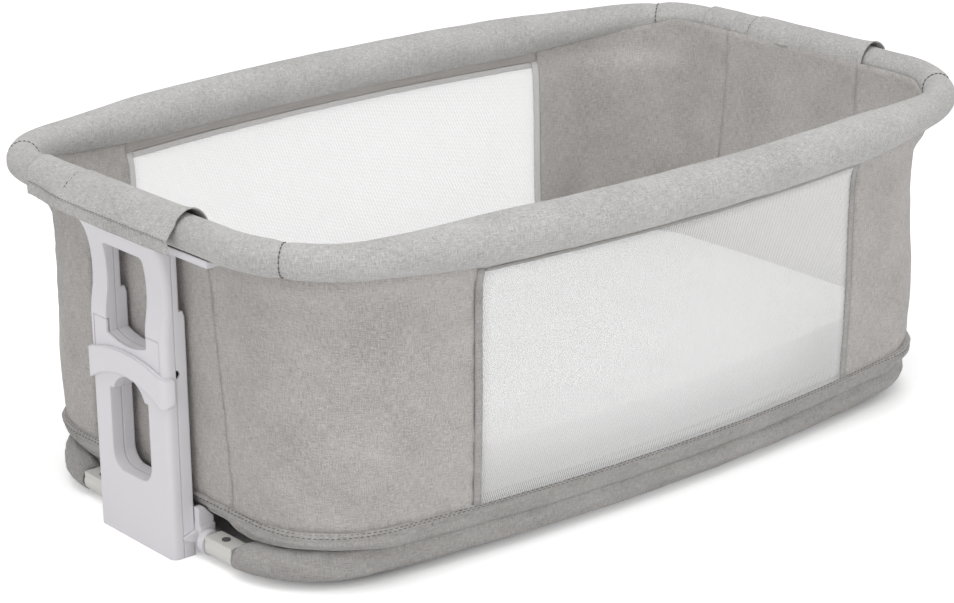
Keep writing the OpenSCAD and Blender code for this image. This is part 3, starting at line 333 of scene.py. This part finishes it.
# ---------- Rail flaps ----------
# A strip of the same cloth wraps over the slim end of the rail at each upright. One end is
# sewn to the rail's cover and the other is left open; a doubled skirt hangs over the lip.
FLAP_OPEN, FLAP_SEWN, FLAP_SEAM = -0.102, 0.139, 0.070
FLAP_LONG, FLAP_DEEP = 0.241, 0.0825
FLAP_R, FLAP_START, FLAP_OUT = 0.0203, math.radians(182), math.radians(38.9)
LIP_X, LIP_Z = 0.0280, 0.3240


def flap_point(side, y, b):
    """b runs from the inside of the rail, over the top and down the skirt, in metres."""
    p, n = rail.at(rail.where(side, y))
    z0 = pad_z(RAIL_HALF)
    open_end = math.exp(-(y - FLAP_OPEN) / 0.012)
    sewn_end = ease(y, FLAP_SEAM - 0.004, FLAP_SEAM + 0.004)
    sewn_end += 0.9 * math.exp(-((y - FLAP_SEAM) / 0.0022) ** 2)
    tail = ease(y, FLAP_SEAM, FLAP_SEWN)
    arc = FLAP_R * (FLAP_START - FLAP_OUT)
    if b < arc:
        turn = FLAP_START - b / FLAP_R
        lift = 0.0032 * open_end * math.sin(turn) ** 2 - 0.0015 * sewn_end
        r = FLAP_R + lift + 0.0006 * wave(y * 30, turn * 1.5, 4.0)
        return p + n * r * math.cos(turn), z0 + r * math.sin(turn)
    x1, z1 = FLAP_R * math.cos(FLAP_OUT), z0 + FLAP_R * math.sin(FLAP_OUT)
    run = math.hypot(LIP_X - x1, LIP_Z - z1)
    u = min((b - arc) / run, 1.0)
    drop = max(b - arc - run, 0.0)
    x, z = x1 + (LIP_X - x1) * u, z1 + (LIP_Z - z1) * u
    x += 0.0010 * math.sin(math.pi * u) + 0.0011 * wave(y * 24, b * 60, 7.0) * (0.3 + 0.7 * u)
    x -= 0.0075 * tail * u + 0.0016 * (drop > 0)
    z -= drop + 0.0014 * wave(y * 14, 2.0) * (drop > 0)
    return p + n * (x - 0.0006 * sewn_end), z


def thread_material(tone):
    material, tree = new_material("spun_sewing_thread")
    place = node(tree, "TexCoord").outputs["Object"]
    twist = node(tree, "TexNoise", {"Vector": place, "Scale": 2500.0}).outputs["Fac"]
    c = colour(tone)
    tint = node(tree, "MixRGB", {0: twist, 1: [v * 0.8 for v in c[:3]] + [1], 2: c})
    relief = node(tree, "Bump", {"Height": twist, "Strength": 0.3, "Distance": 0.0002})
    shader = node(tree, "BsdfPrincipled", {"Base Color": tint.outputs[0], "Roughness": 0.8,
                                           "Normal": relief.outputs[0]})
    node(tree, "OutputMaterial", {"Surface": shader.outputs[0]})
    return material


threads = {}
PATH_STEPS = 400


def stitches(name, path, slot="cloth", body="frame", length=0.0030, space=0.0017, thick=0.0005,
             tone="#8E8B88"):
    """A row of sewn stitches: path(t) gives (plan point, height) and the way out, t in 0-1."""
    if tone not in threads:
        threads[tone] = thread_material(tone)
    marks = [path(i / PATH_STEPS) for i in range(PATH_STEPS + 1)]
    run = [0.0]
    for a, b in zip(marks, marks[1:]):
        run.append(run[-1] + (Vector(b[0]) - Vector(a[0])).length)
    points, faces = [], []
    at = space
    while at + length < run[-1]:
        ends = []
        for d in (0.0, 0.35, 0.65, 1.0):
            w = at + d * length
            k = max(i for i in range(len(run)) if run[i] <= w)
            k = min(k, PATH_STEPS - 1)
            f = (w - run[k]) / max(run[k + 1] - run[k], 1e-9)
            centre = Vector(marks[k][0]).lerp(Vector(marks[k + 1][0]), f)
            ends.append((centre, Vector(marks[k][1]), 0.35 if d in (0.0, 1.0) else 1.0))
        along = (ends[-1][0] - ends[0][0]).normalized()
        base = len(points)
        for centre, out, full in ends:
            wide = out.cross(along).normalized()
            for turn in range(6):
                a = turn * math.pi / 3
                points.append(centre + (wide * math.cos(a) + out * math.sin(a)) * thick * full)
        for ring in range(3):
            for turn in range(6):
                a, b = base + ring * 6 + turn, base + ring * 6 + (turn + 1) % 6
                faces.append([a, b, b + 6, a + 6])
        faces.append([base + k for k in (5, 4, 3, 2, 1, 0)])
        faces.append([base + 18 + k for k in range(6)])
        at += length + space
    o = piece(name, points, faces, threads[tone], slot, body=body)
    select(o)
    bpy.ops.object.mode_set(mode="EDIT")
    bpy.ops.mesh.select_all(action="SELECT")
    bpy.ops.mesh.normals_make_consistent(inside=False)
    bpy.ops.object.mode_set(mode="OBJECT")
    return o


for seam, at in (("near_left", -seam_s), ("near_right", seam_s),
                 ("far_right", 2 * quarter - seam_s), ("far_left", 2 * quarter + seam_s)):
    def seam_path(t, at=at):
        p, n = rail.at(at)
        turn = 2 * math.pi * t
        r = pad_r(p.x) - 0.0021
        out = Vector((n.x * math.cos(turn), n.y * math.cos(turn), math.sin(turn)))
        return Vector((p.x, p.y, pad_z(p.x))) + out * r, out

    stitches(f"rail_seam_{seam}", seam_path, length=0.0032, space=0.0013, thick=0.0007,
             tone="#6F6C69")

for side in ("left", "right"):
    def flap_place(a, b, side=side):
        y = FLAP_OPEN + (FLAP_SEWN - FLAP_OPEN) * (a if side == "left" else 1 - a)
        q, z = flap_point(side, y, b * FLAP_DEEP)
        return (q.x, q.y, z)

    o = grid(f"flap_{side}", flap_place, 120, 44, (FLAP_LONG, FLAP_DEEP), rail_cloth_painted_lighter, "cloth")
    sheet_of(o, 0.0013)
    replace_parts(o, f"rail_flap_{side}")

    def sewn_path(t, side=side):
        at, z = flap_point(side, FLAP_SEAM, 0.004 + 0.058 * t)
        p, n = rail.at(rail.where(side, FLAP_SEAM))
        out = Vector((at.x - p.x, at.y - p.y, z - pad_z(RAIL_HALF))).normalized()
        return Vector((at.x, at.y, z)) + out * 0.0002, out

    stitches(f"flap_seam_{side}", sewn_path, length=0.0028, space=0.0012, tone="#6F6C69")
    for row, back_from_hem in (("low", 0.0118), ("high", 0.0136)):
        def row_path(t, side=side, b=FLAP_DEEP - back_from_hem):
            y = FLAP_OPEN + 0.002 + (FLAP_SEWN - FLAP_OPEN - 0.004) * t
            q, z = flap_point(side, y, b)
            r, z2 = flap_point(side, y, b - 0.001)
            p, n = rail.at(rail.where(side, y))
            tangent = Vector((q.x - r.x, q.y - r.y, z - z2)).normalized()
            way = Vector((n.x, n.y, 0))
            out = (way - tangent * way.dot(tangent)).normalized()
            return Vector((q.x, q.y, z)) + out * 0.0002, out

        stitches(f"flap_stitch_{row}_{side}", row_path)


# ---------- Mattress ----------
# A stiff cloth-covered board closes the bottom of the basket, and a white quilted slab with
# rounded edges lies loose on it.
def plain_white_cloth():
    material, tree = new_material("white_quilt_cloth")
    place = node(tree, "TexCoord").outputs["Object"]
    tuft = node(tree, "TexNoise", {"Vector": place, "Scale": 900.0, "Detail": 2.0}).outputs["Fac"]
    cloud = node(tree, "TexNoise", {"Vector": place, "Scale": 14.0, "Detail": 3.0}).outputs["Fac"]
    base = ramp(tree, cloud, [(0.3, "#F3F3F3"), (0.7, "#FBFBFB")])
    relief = node(tree, "Bump", {"Height": tuft, "Strength": 0.3, "Distance": 0.001})
    shader = node(tree, "BsdfPrincipled", {"Base Color": base, "Roughness": 0.95,
                                           "Normal": relief.outputs[0]})
    node(tree, "OutputMaterial", {"Surface": shader.outputs[0]})
    return material


def slab(name, node_name, ring, z0, z1, crown, tuck, material, slot, body):
    """A flat pad with a rounded edge: b runs from the underside's middle to the top's."""
    def place(a, b):
        p, n = ring.at(a * 4 * ring.quarter)
        edge = 0.0
        if b < 0.4:
            k, z = math.sin(b / 0.4 * math.pi / 2), z0
        elif b < 0.6:
            k, z = 1.0, z0 + (z1 - z0) * (b - 0.4) / 0.2
            edge = math.sin((b - 0.4) / 0.2 * math.pi)
        else:
            k = math.sin((1 - b) / 0.4 * math.pi / 2)
            z = z1 + crown * (1 - k ** 4)
        q = p * k - n * (tuck - (tuck - 0.001) * edge) * (k > 0.9)
        return (q.x, q.y, z)

    o = grid(name, place, 150, 40, (2.2, 0.6), material, slot, round_u=True, body=body)
    select(o)
    bpy.ops.object.mode_set(mode="EDIT")
    bpy.ops.mesh.select_all(action="SELECT")
    bpy.ops.mesh.remove_doubles(threshold=0.00002)
    bpy.ops.mesh.normals_make_consistent(inside=False)
    bpy.ops.object.mode_set(mode="OBJECT")
    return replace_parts(o, node_name)


bed_low, bed_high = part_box("mattress")
board_low, board_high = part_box("floor_panel")
slab("floor_board", "floor_panel", Ring(0.4015, 0.2215, 0.077), board_low[2],
     board_high[2] - 0.0003, 0.0, 0.002, hem_cloth, "cloth_dark", "frame")
mattress = slab("mattress_pad", "mattress", Ring(0.3985, 0.2185, 0.074), bed_low[2] + 0.0004,
                bed_high[2] - 0.004, 0.003, 0.006, plain_white_cloth(), "mesh", "mattress")
pin = mattress.vertex_groups.new(name="pin")
for v in mattress.data.vertices:
    if v.co.z < bed_low[2] + 0.002:
        pin.add([v.index], 1.0, "REPLACE")
soft.append((mattress, 0.0022))


# ---------- Fabric walls ----------
# Six panels of the same cloth, sewn to the rail above and to the hem band below. They flare
# a little, puckered at the seams and slack between them.
low_ring, top_ring = (0.418, 0.267, 0.103), (0.424, 0.277, 0.102)
WALL_LOW, WALL_TOP, WALL_CUT, WALL_LEAN = 0.060, 0.294, 0.265, 0.13
rings = {}


def wall_ring(u):
    u = round(u, 4)
    if u not in rings:
        rings[u] = Ring(*(a + (b - a) * u for a, b in zip(low_ring, top_ring)))
    return rings[u]


def under_pad(p, tuck=0.0045):
    """Height at which a wall's top edge meets the padding."""
    d, r = rail.offset(p), pad_r(p.x) + 0.0001
    return pad_z(p.x) - 0.0003 - math.sqrt(max(r * r - d * d, 0)) + tuck


def wall(name, node_name, start, end, z0, z1, material, slot, creases=1.0, thick=0.0016,
         nv=40, bulge=0.0, step=0.006, out=0.0, whole=True):
    """Cloth from z0 to z1, or up to the padding where z1 is None. start and end are
    (side, x or y) on the ring; on the ends the seams lean in towards the top."""
    base = wall_ring(0.5)
    s0, s1 = base.where(*start), base.where(*end)
    turn = 4 * base.quarter if s1 < s0 else 0
    length = s1 + turn - s0
    seed = s0 * 3

    def along(ring, lean, a):
        u0, u1 = ((c, v * (lean if c in ("left", "right") else 1)) for c, v in (start, end))
        last = ring.where(*u1) + (4 * ring.quarter if turn else 0)
        return ring.where(*u0) * (1 - a) + last * a

    def place(a, b):
        top = z1
        if z1 is None:
            ring = wall_ring(1.0)
            top = under_pad(ring.at(along(ring, 1 - WALL_LEAN, a))[0])
        z = z0 + (top - z0) * b
        ring = wall_ring((min(z, WALL_TOP) - WALL_LOW) / (WALL_TOP - WALL_LOW))
        s = along(ring, 1 - WALL_LEAN * ease(z, WALL_LOW, WALL_TOP), a)
        p, n = ring.at(s)
        h = z - z0
        left, right = a * length, (1 - a) * length
        edge = min(left, right)
        near_seam = math.exp(-(top - z) / 0.022) * 0.8 + math.exp(-h / 0.02)
        tug = 0.0013 * near_seam * wave(s * 75 + seed, z * 9)
        side = 0.0011 * math.exp(-edge / 0.02) * wave(z * 85, seed)
        slack = 0.0022 * wave(s * 9 + z * 7 + seed, z * 11) + 0.0008 * wave(s * 30, z * 45 + seed)
        # Soft upright folds, strongest round the corners, with a sharp crest
        fold = 1 - abs(wave(s * 21 + 1.5 * wave(z * 9, seed), z * 4, seed + 5)) * 4
        slack += 0.0022 * max(fold, 0.0) ** 2 * (0.3 + 0.7 * (2 * abs(n.x * n.y)) ** 0.5)
        hold = min(edge, top - z, h) / 0.012
        move = creases * (tug * min(edge / 0.008, 1) + side + slack * min(hold, 1)) + out
        move += bulge * math.sin(math.pi * b) - 0.0008 * math.exp(-edge / 0.0022)
        # The slack cloth draws in round the corners, and back out under the padding
        corner = (2 * abs(n.x * n.y)) ** 0.7
        move -= 0.010 * corner * ease(z, 0.12, 0.26) * (1 - ease(z, 0.272, 0.292))
        q = p + n * move
        return (q.x, q.y, z)

    nu = max(4, round(length / step))
    o = grid(name, place, nu, nv, (length, 0.24), material, slot)
    sheet_of(o, thick)
    if not whole:
        return o
    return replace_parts(o, node_name)


NEAR, FAR, END, TAPE = 0.240, 0.269, 0.112, 0.008
for place_name, start, end, creases in (
        ("near_left", ("left", -END), ("near", -NEAR - TAPE), 1.0),
        ("near_right", ("near", NEAR + TAPE), ("right", -END), 1.0),
        ("end_right", ("right", -END), ("right", END), 0.5),
        ("far_right", ("right", END), ("far", FAR + TAPE), 1.0),
        ("far_left", ("far", -FAR - TAPE), ("left", END), 1.0),
        ("end_left", ("left", END), ("left", -END), 0.5)):
    wall(f"panel_{place_name}", f"wall_{place_name}", start, end, WALL_LOW, None, wall_cloth,
         "cloth", creases)


# ---------- Mesh windows ----------
# An open white knit with small slanting cells on both long sides, stretched between tapes.
def netting():
    material, tree = new_material("white_knitted_mesh")
    uv = node(tree, "UVMap", uv_map="UVMap").outputs[0]
    turned = node(tree, "Mapping", {"Vector": uv, "Rotation": (0, 0, math.radians(32)),
                                    "Scale": (2 * math.pi / 0.0030, 2 * math.pi / 0.0023, 1)})
    xy = node(tree, "SeparateXYZ", {0: turned.outputs[0]}).outputs
    cells = math_node(tree, "MULTIPLY", math_node(tree, "SINE", xy[0]),
                      math_node(tree, "SINE", xy[1]))
    hole = node(tree, "MapRange", {"Value": cells, "From Min": -0.06, "From Max": 0.14}).outputs[0]
    hole = math_node(tree, "MULTIPLY", hole, 0.95)
    shade = ramp(tree, cells, [(0.0, "#FCFCFC"), (0.4, "#F3F3F3")])
    relief = node(tree, "Bump", {"Height": cells, "Strength": 0.4, "Distance": 0.0006},
                  invert=True)
    solid = node(tree, "BsdfPrincipled", {"Base Color": shade, "Roughness": 0.8,
                                          "Normal": relief.outputs[0]})
    glow = node(tree, "BsdfTranslucent", {"Color": shade})
    thread = node(tree, "MixShader", {0: 0.5, 1: solid.outputs[0], 2: glow.outputs[0]})
    clear = node(tree, "BsdfTransparent")
    mixed = node(tree, "MixShader", {0: hole, 1: thread.outputs[0], 2: clear.outputs[0]})
    node(tree, "OutputMaterial", {"Surface": mixed.outputs[0]})
    return material


net = netting()
windows = (("near", NEAR, 0.2865), ("far", FAR, 0.2815))
for side, half, top in windows:
    ends = ((side, -half), (side, half)) if side == "near" else ((side, half), (side, -half))
    wall(f"net_{side}", f"mesh_window_{side}", *ends, WALL_LOW, top, net, "mesh", 0.35, 0.0004,
         24, step=0.012)

# Tapes: a folded strip round each window, stitched down along both edges; on the far side
# its inner face is a pale herringbone.
def twill():
    material, tree = new_material("pale_herringbone_tape")
    uv = node(tree, "UVMap", uv_map="UVMap").outputs[0]
    xy = node(tree, "SeparateXYZ", {0: uv}).outputs
    fold = math_node(tree, "PINGPONG", xy[1], 0.002)
    slant = math_node(tree, "SINE", math_node(tree, "MULTIPLY", math_node(
        tree, "ADD", math_node(tree, "MULTIPLY", fold, 1.2), xy[0]), 2 * math.pi / 0.0026))
    base = ramp(tree, math_node(tree, "MULTIPLY_ADD", slant, 0.5, 0.5),
                [(0.2, "#BDBBB9"), (0.8, "#F2F1F0")])
    relief = node(tree, "Bump", {"Height": slant, "Strength": 0.3, "Distance": 0.0006})
    shader = node(tree, "BsdfPrincipled", {"Base Color": base, "Roughness": 0.9,
                                           "Normal": relief.outputs[0]})
    node(tree, "OutputMaterial", {"Surface": shader.outputs[0]})
    return material


tape_cloth = {"near": hem_cloth, "far": twill()}
for side, half, top in windows:
    sign = 1 if side == "near" else -1
    over = 0.0035 if side == "near" else 0.0065
    sides = {"nv": 40, "step": 0.002}
    across_top = {"nv": 4, "step": 0.006}
    strips = [((side, -sign * (half + TAPE)), (side, -sign * half), WALL_LOW, sides),
              ((side, sign * half), (side, sign * (half + TAPE)), WALL_LOW, sides),
              ((side, -sign * half), (side, sign * half), top, across_top)]
    parts = [wall(f"tape_{side}", "", start, end, z0, top + over, tape_cloth[side], "cloth_dark",
                  creases=0.4, thick=0.0024, bulge=0.0006, out=0.0004, whole=False, **cells)
             for start, end, z0, cells in strips]
    select(parts[0])
    for o in parts[1:]:
        o.select_set(True)
    bpy.ops.object.join()
    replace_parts(parts[0], f"window_tape_{side}")
    wall(f"header_{side}", f"window_header_{side}", (side, -sign * (half + TAPE)),
         (side, sign * (half + TAPE)), top + over, None, wall_cloth, "cloth", creases=0.7,
         thick=0.0018, nv=6, bulge=0.0012)


# ---------- Hem band ----------
# Joins the walls to the base ring's sleeve. Two rows of folded cloth with a zip between them.
base_ring = Ring(0.4196, 0.2396, 0.095)
hem_low, hem_top = (0.409, 0.2536, 0.109), low_ring
HEM_FOOT = 0.0385
SLEEVE_R, SLEEVE_Z = 0.0175, 0.0225
hem_rings = {}


def hem_ring(u):
    """The ring at share u of the way from the hem's lower edge to its upper one."""
    if u not in hem_rings:
        hem_rings[u] = Ring(*(p + (r - p) * u for p, r in zip(hem_low, hem_top)))
    return hem_rings[u]


def hem_low_z(p):
    d, r = base_ring.offset(p), SLEEVE_R + 0.001
    z = SLEEVE_Z + math.sqrt(max(r * r - d * d, 0)) - 0.0045
    over_bracket = 0.040 - 0.0068 * ease(abs(p.y), 0.094, 0.108)
    return over_bracket + (z - over_bracket) * ease(abs(p.y), 0.112, 0.130)


def hem_out(s, b, p, n):
    """How far the hem's folds stand out; they lie flatter along the zips."""
    flat = 1 - ease(abs(p.x), 0.295, 0.335)
    fold = 0.0022 * abs(math.sin(b * 3 * math.pi)) ** 1.5 + 0.0016 * wave(s * 17 + b, b * 4)
    fold += 0.0007 * wave(s * 90, b * 5) - 0.0010
    bulge = (0.0035 + 0.0075 * abs(2 * n.x * n.y)) * max(math.sin(math.pi * b), 0) ** 0.8
    return fold * (1 - 0.5 * flat) + bulge * (1 - 0.8 * flat)


def hem_point(a, b):
    ring = hem_ring(b)
    p, n = ring.at(a * 4 * ring.quarter)
    inner = Ring(*(v - 0.0024 for v in hem_low))
    z0 = hem_low_z(inner.at(a * 4 * inner.quarter)[0])
    z = z0 + (WALL_LOW + 0.0008 - z0) * b
    s = a * 4 * ring.quarter
    q = p + n * (hem_out(s, b, p, n) - 0.0008 * (b > 0.97))
    return (q.x, q.y, z)


hem = grid("hem", hem_point, 460, 24, (2.25, 0.026), hem_cloth, "cloth_dark", round_u=True)
sheet_of(hem, 0.0018)
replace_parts(hem, "hem_band")

for row, z in (("low", 0.0562), ("high", 0.0585)):
    def hem_row(t, z=z):
        u = (z - HEM_FOOT) / (WALL_LOW - HEM_FOOT)
        ring = hem_ring(u)
        run = t * 4 * ring.quarter
        p, n = ring.at(run)
        q = p + n * (hem_out(run, u, p, n) + 0.0002)
        return Vector((q.x, q.y, z)), Vector((n.x, n.y, 0))

    stitches(f"hem_stitch_{row}", hem_row, "cloth_dark", length=0.0034, space=0.0019,
             tone="#75726F")

# Zips: a folded tape with a sewn coil of teeth down its middle, on each long side of the hem
ZIP_HALF, ZIP_LONG, ZIP_LOW, ZIP_HIGH = 0.2890, 0.578, 0.0450, 0.0540
for side, sign in (("near", 1), ("far", -1)):
    def zip_place(a, b, side=side, sign=sign):
        z = ZIP_LOW + (ZIP_HIGH - ZIP_LOW) * b
        u = (z - HEM_FOOT) / (WALL_LOW - HEM_FOOT)
        ring = hem_ring(u)
        x = ZIP_HALF * (2 * a - 1) * sign
        run = ring.where(side, x)
        p, n = ring.at(run)
        coil = 0.0011 * max(0.0, 1 - abs(b - 0.5) / 0.16) ** 0.5
        teeth = coil * (0.72 + 0.28 * math.sin(x * math.pi / 0.0011))
        q = p + n * (hem_out(run, u, p, n) + 0.0013 + teeth)
        return (q.x, q.y, z)

    o = grid(f"zip_{side}", zip_place, 520, 12, (ZIP_LONG, 0.009), hem_cloth, "cloth_dark")
    sheet_of(o, 0.0010)
    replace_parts(o, f"zip_tape_{side}")


# ---------- Base sleeves ----------
# Two loose tubes of cloth over the base ring, gathered and creased, that leave the four
# connectors bare. Their ends are turned in and drawn up to the connectors.
def sleeve(name, node_name, start, end, seed):
    s0, s1 = base_ring.where(*start), base_ring.where(*end)
    length = s1 - s0 + (4 * base_ring.quarter if s1 < s0 else 0)

    def place(a, b):
        s = s0 + a * length
        p, n = base_ring.at(s)
        turn = 2 * math.pi * b - 1.2
        edge = min(a, 1 - a) * length
        under = max(0.0, -math.sin(turn))
        long_fold = 0.0024 * wave(s * 5 + 3 * turn, turn * 1.3 + seed)
        gather = 0.0014 * wave(s * 26 + 1.5 * turn, turn * 2.2, seed)
        gather -= 0.0016 * max(0.0, 0.25 - abs(wave(s * 17 - 2.1 * turn, turn, seed + 3))) / 0.25
        seam = 0.0010 * math.exp(-((s - 0.07) / 0.0025) ** 2)
        neck = math.exp(-edge / 0.012)
        folds = (long_fold + gather) * (1 - 0.7 * under) * (1 - 0.7 * neck)
        r = SLEEVE_R - 0.0011 + folds - 0.0050 * neck + seam * 0.6
        q = p + n * r * math.cos(turn)
        return (q.x, q.y, SLEEVE_Z - 0.0065 * neck + r * math.sin(turn))

    nu = round(length / 0.006)
    o = grid(name, place, nu, 32, (length, 0.11), hem_cloth, "cloth_dark", round_v=True)
    sheet_of(o, 0.0015)
    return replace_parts(o, node_name)


# Each sleeve stops this far from the middle of an end, where the connectors are
BARE = 0.1229
sleeve("sleeve_near", "base_sleeve_near", ("left", -BARE), ("right", -BARE), 1.7)
sleeve("sleeve_far", "base_sleeve_far", ("right", BARE), ("left", BARE), 5.1)


# ---------- Plastic and metal ----------
# The uprights, brackets and connectors are moulded with a fine matt texture and soft edges;
# the tubes, bolts and screws are steel.
def moulded(name, code, rough=0.42, edge=0.0012):
    material, tree = new_material(name)
    place = node(tree, "TexCoord").outputs["Object"]
    grain = node(tree, "TexNoise", {"Vector": place, "Scale": 1400.0, "Detail": 1.0}).outputs["Fac"]
    cloud = node(tree, "TexNoise", {"Vector": place, "Scale": 9.0, "Detail": 2.0}).outputs["Fac"]
    round_edge = node(tree, "Bevel", {"Radius": edge}, samples=6)
    relief = node(tree, "Bump", {"Height": grain, "Strength": 0.12, "Distance": 0.0002,
                                 "Normal": round_edge.outputs[0]})
    c = colour(code)
    tint = node(tree, "MixRGB", {0: cloud, 1: [v * 0.97 for v in c[:3]] + [1], 2: c})
    gloss = node(tree, "MapRange", {"Value": grain, "To Min": rough - 0.05, "To Max": rough + 0.08})
    shader = node(tree, "BsdfPrincipled", {"Base Color": tint.outputs[0],
                                           "Roughness": gloss.outputs[0],
                                           "Normal": relief.outputs[0]})
    node(tree, "OutputMaterial", {"Surface": shader.outputs[0]})
    return material


def drawn_metal(name, code, metallic, rough):
    material, tree = new_material(name)
    place = node(tree, "TexCoord").outputs["Object"]
    fine = node(tree, "TexNoise", {"Vector": place, "Scale": 600.0, "Detail": 3.0}).outputs["Fac"]
    c = colour(code)
    tint = node(tree, "MixRGB", {0: fine, 1: [v * 0.9 for v in c[:3]] + [1], 2: c})
    gloss = node(tree, "MapRange", {"Value": fine, "To Min": rough - 0.06, "To Max": rough + 0.06})
    relief = node(tree, "Bump", {"Height": fine, "Strength": 0.08, "Distance": 0.0002})
    shader = node(tree, "BsdfPrincipled", {"Base Color": tint.outputs[0], "Metallic": metallic,
                                           "Roughness": gloss.outputs[0],
                                           "Normal": relief.outputs[0]})
    node(tree, "OutputMaterial", {"Surface": shader.outputs[0]})
    return material


finishes = {
    "white_plastic": moulded("white_moulded_plastic", "#EAE8EC", 0.42, 0.0025),
    "cream_plastic": moulded("cream_moulded_plastic", "#E2E1DC", 0.38, 0.0015),
    "grey_plastic": moulded("grey_moulded_plastic", "#5E6062", 0.4, 0.0005),
    "steel": drawn_metal("drawn_steel", "#A2A4A6", 1.0, 0.35),
    "tube": drawn_metal("grey_powder_coat", "#77787A", 0.0, 0.55),
    "cloth": wall_cloth, "cloth_dark": hem_cloth, "mesh": net,
}
slots = {s["node"]: s["material_slot"] for s in frame["record"]["subparts"]}
for name, o in frame["nodes"].items():
    for i in range(len(o.material_slots)):
        o.material_slots[i].link = "OBJECT"
        o.material_slots[i].material = finishes[slots[name]]


# ---------- Return springs ----------
# A pair of steel coil springs under each release slider. They stand on the shell's ledge and
# shorten as the slider comes down, but here they are fixed to the frame at one length.
for side in ("left", "right"):
    cad = frame["nodes"][f"release_springs_{side}"]
    coil = bpy.data.objects.new(f"return_springs_{side}", cad.data.copy())
    bpy.context.scene.collection.objects.link(coil)
    select(coil)
    bpy.ops.object.mode_set(mode="EDIT")
    bpy.ops.mesh.select_all(action="SELECT")
    bpy.ops.mesh.remove_doubles(threshold=0.000001)
    bpy.ops.object.mode_set(mode="OBJECT")
    coil.data.materials.clear()
    coil.data.materials.append(finishes["steel"])
    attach(coil, "frame")
    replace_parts(coil, f"release_springs_{side}")
    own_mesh(coil)


# ---------- Filling the padding ----------
# Air pressure swells the padded covers and the mattress a little, the covers held at their
# seams and the mattress at its underside.
def puff(things, pressure=4.0, frames=20):
    scene = bpy.context.scene
    start = {}
    for o, _ in things:
        start[o.name] = [v.co.copy() for v in o.data.vertices]
        m = o.modifiers.new("fill", "CLOTH")
        m.settings.quality = 5
        m.settings.mass = 0.25
        m.settings.use_pressure = True
        m.settings.uniform_pressure_force = pressure
        m.settings.effector_weights.gravity = 0
        m.settings.vertex_group_mass = "pin"
        m.settings.tension_stiffness = m.settings.compression_stiffness = 40
        m.settings.bending_stiffness = 1.5
        m.point_cache.frame_end = frames
    for f in range(1, frames + 1):
        scene.frame_set(f)
    graph = bpy.context.evaluated_depsgraph_get()
    for o, cap in things:
        swollen = [v.co.copy() for v in o.evaluated_get(graph).data.vertices]
        o.modifiers.remove(o.modifiers["fill"])
        for v, a, b in zip(o.data.vertices, start[o.name], swollen):
            d = b - a
            v.co = a + d * min(1.0, cap / max(d.length, 1e-9))
    scene.frame_set(1)


puff(soft)
for o, _ in soft:
    m = o.modifiers.new("smooth", "SUBSURF")
    m.levels = m.render_levels = 1
    apply_all(o)


# ---------- Floor and light ----------
# A plain white floor that fills the view, a large soft lamp overhead to the left, weaker
# ones in front and at the left, and an even white surround.
select(camera)
bpy.ops.mesh.primitive_plane_add(size=14, location=(0, 0, 0))
floor = bpy.context.active_object
floor.name = "floor"
paper, tree = new_material("white_backdrop_paper")
place = node(tree, "TexCoord").outputs["Object"]
speck = node(tree, "TexNoise", {"Vector": place, "Scale": 3.0}).outputs["Fac"]
paper_tone = ramp(tree, speck, [(0.3, "#F6F6F6"), (0.7, "#FAFAFA")])
shader = node(tree, "BsdfDiffuse", {"Color": paper_tone})
# Seen directly it is a little brighter outside the basket's footprint, so that it stays white
# round the object's shadow
spot = node(tree, "SeparateXYZ", {0: place}).outputs
past = []
for axis, half in ((0, 0.31), (1, 0.135)):
    beyond = math_node(tree, "SUBTRACT", math_node(tree, "ABSOLUTE", spot[axis]), half)
    past.append(math_node(tree, "MAXIMUM", beyond, 0.0))
squared = math_node(tree, "MULTIPLY_ADD", past[0], past[0],
                    math_node(tree, "MULTIPLY", past[1], past[1]))
clear_of = math_node(tree, "SQRT", squared)
around = node(tree, "MapRange", {"Value": clear_of, "From Min": 0.065, "From Max": 0.12,
                                 "To Min": 0.0, "To Max": 0.42}).outputs[0]
lift = node(tree, "Emission", {"Color": (1, 1, 1, 1), "Strength": around})
bright = node(tree, "AddShader", {0: shader.outputs[0], 1: lift.outputs[0]})
direct = node(tree, "LightPath").outputs["Is Camera Ray"]
both = node(tree, "MixShader", {0: direct, 1: shader.outputs[0], 2: bright.outputs[0]})
node(tree, "OutputMaterial", {"Surface": both.outputs[0]})
floor.data.materials.append(paper)


def lamp(name, where, aim, size, power):
    data = bpy.data.lights.new(name, "AREA")
    data.shape, data.size, data.energy = "DISK", size, power
    o = bpy.data.objects.new(name, data)
    bpy.context.scene.collection.objects.link(o)
    o.location = where
    o.rotation_euler = (Vector(where) - Vector(aim)).to_track_quat("Z", "Y").to_euler()


lamp("overhead", (-0.7, -0.5, 3.1), (0, 0, 0.1), 2.6, 36)
lamp("front_fill", (0.7, -3.4, 1.5), (0, 0, 0.15), 2.4, 20)
lamp("left_fill", (-3.2, -1.2, 1.7), (0, 0, 0.15), 2.2, 9)

world = bpy.data.worlds.new("surround")
bpy.context.scene.world = world
world.use_nodes = True
tree = world.node_tree
tree.nodes.clear()
path = node(tree, "LightPath").outputs
seen = math_node(tree, "MAXIMUM", path["Is Camera Ray"], math_node(
    tree, "MAXIMUM", path["Is Glossy Ray"], path["Is Transmission Ray"]))
white = node(tree, "Background", {"Color": (1, 1, 1, 1), "Strength": 1.0})
soft_light = node(tree, "Background", {"Color": (1, 1, 1, 1), "Strength": 0.57})
both = node(tree, "MixShader", {0: seen, 1: soft_light.outputs[0], 2: white.outputs[0]})
node(tree, "OutputWorld", {"Surface": both.outputs[0]})
bpy.context.scene.view_settings.view_transform = "Standard"
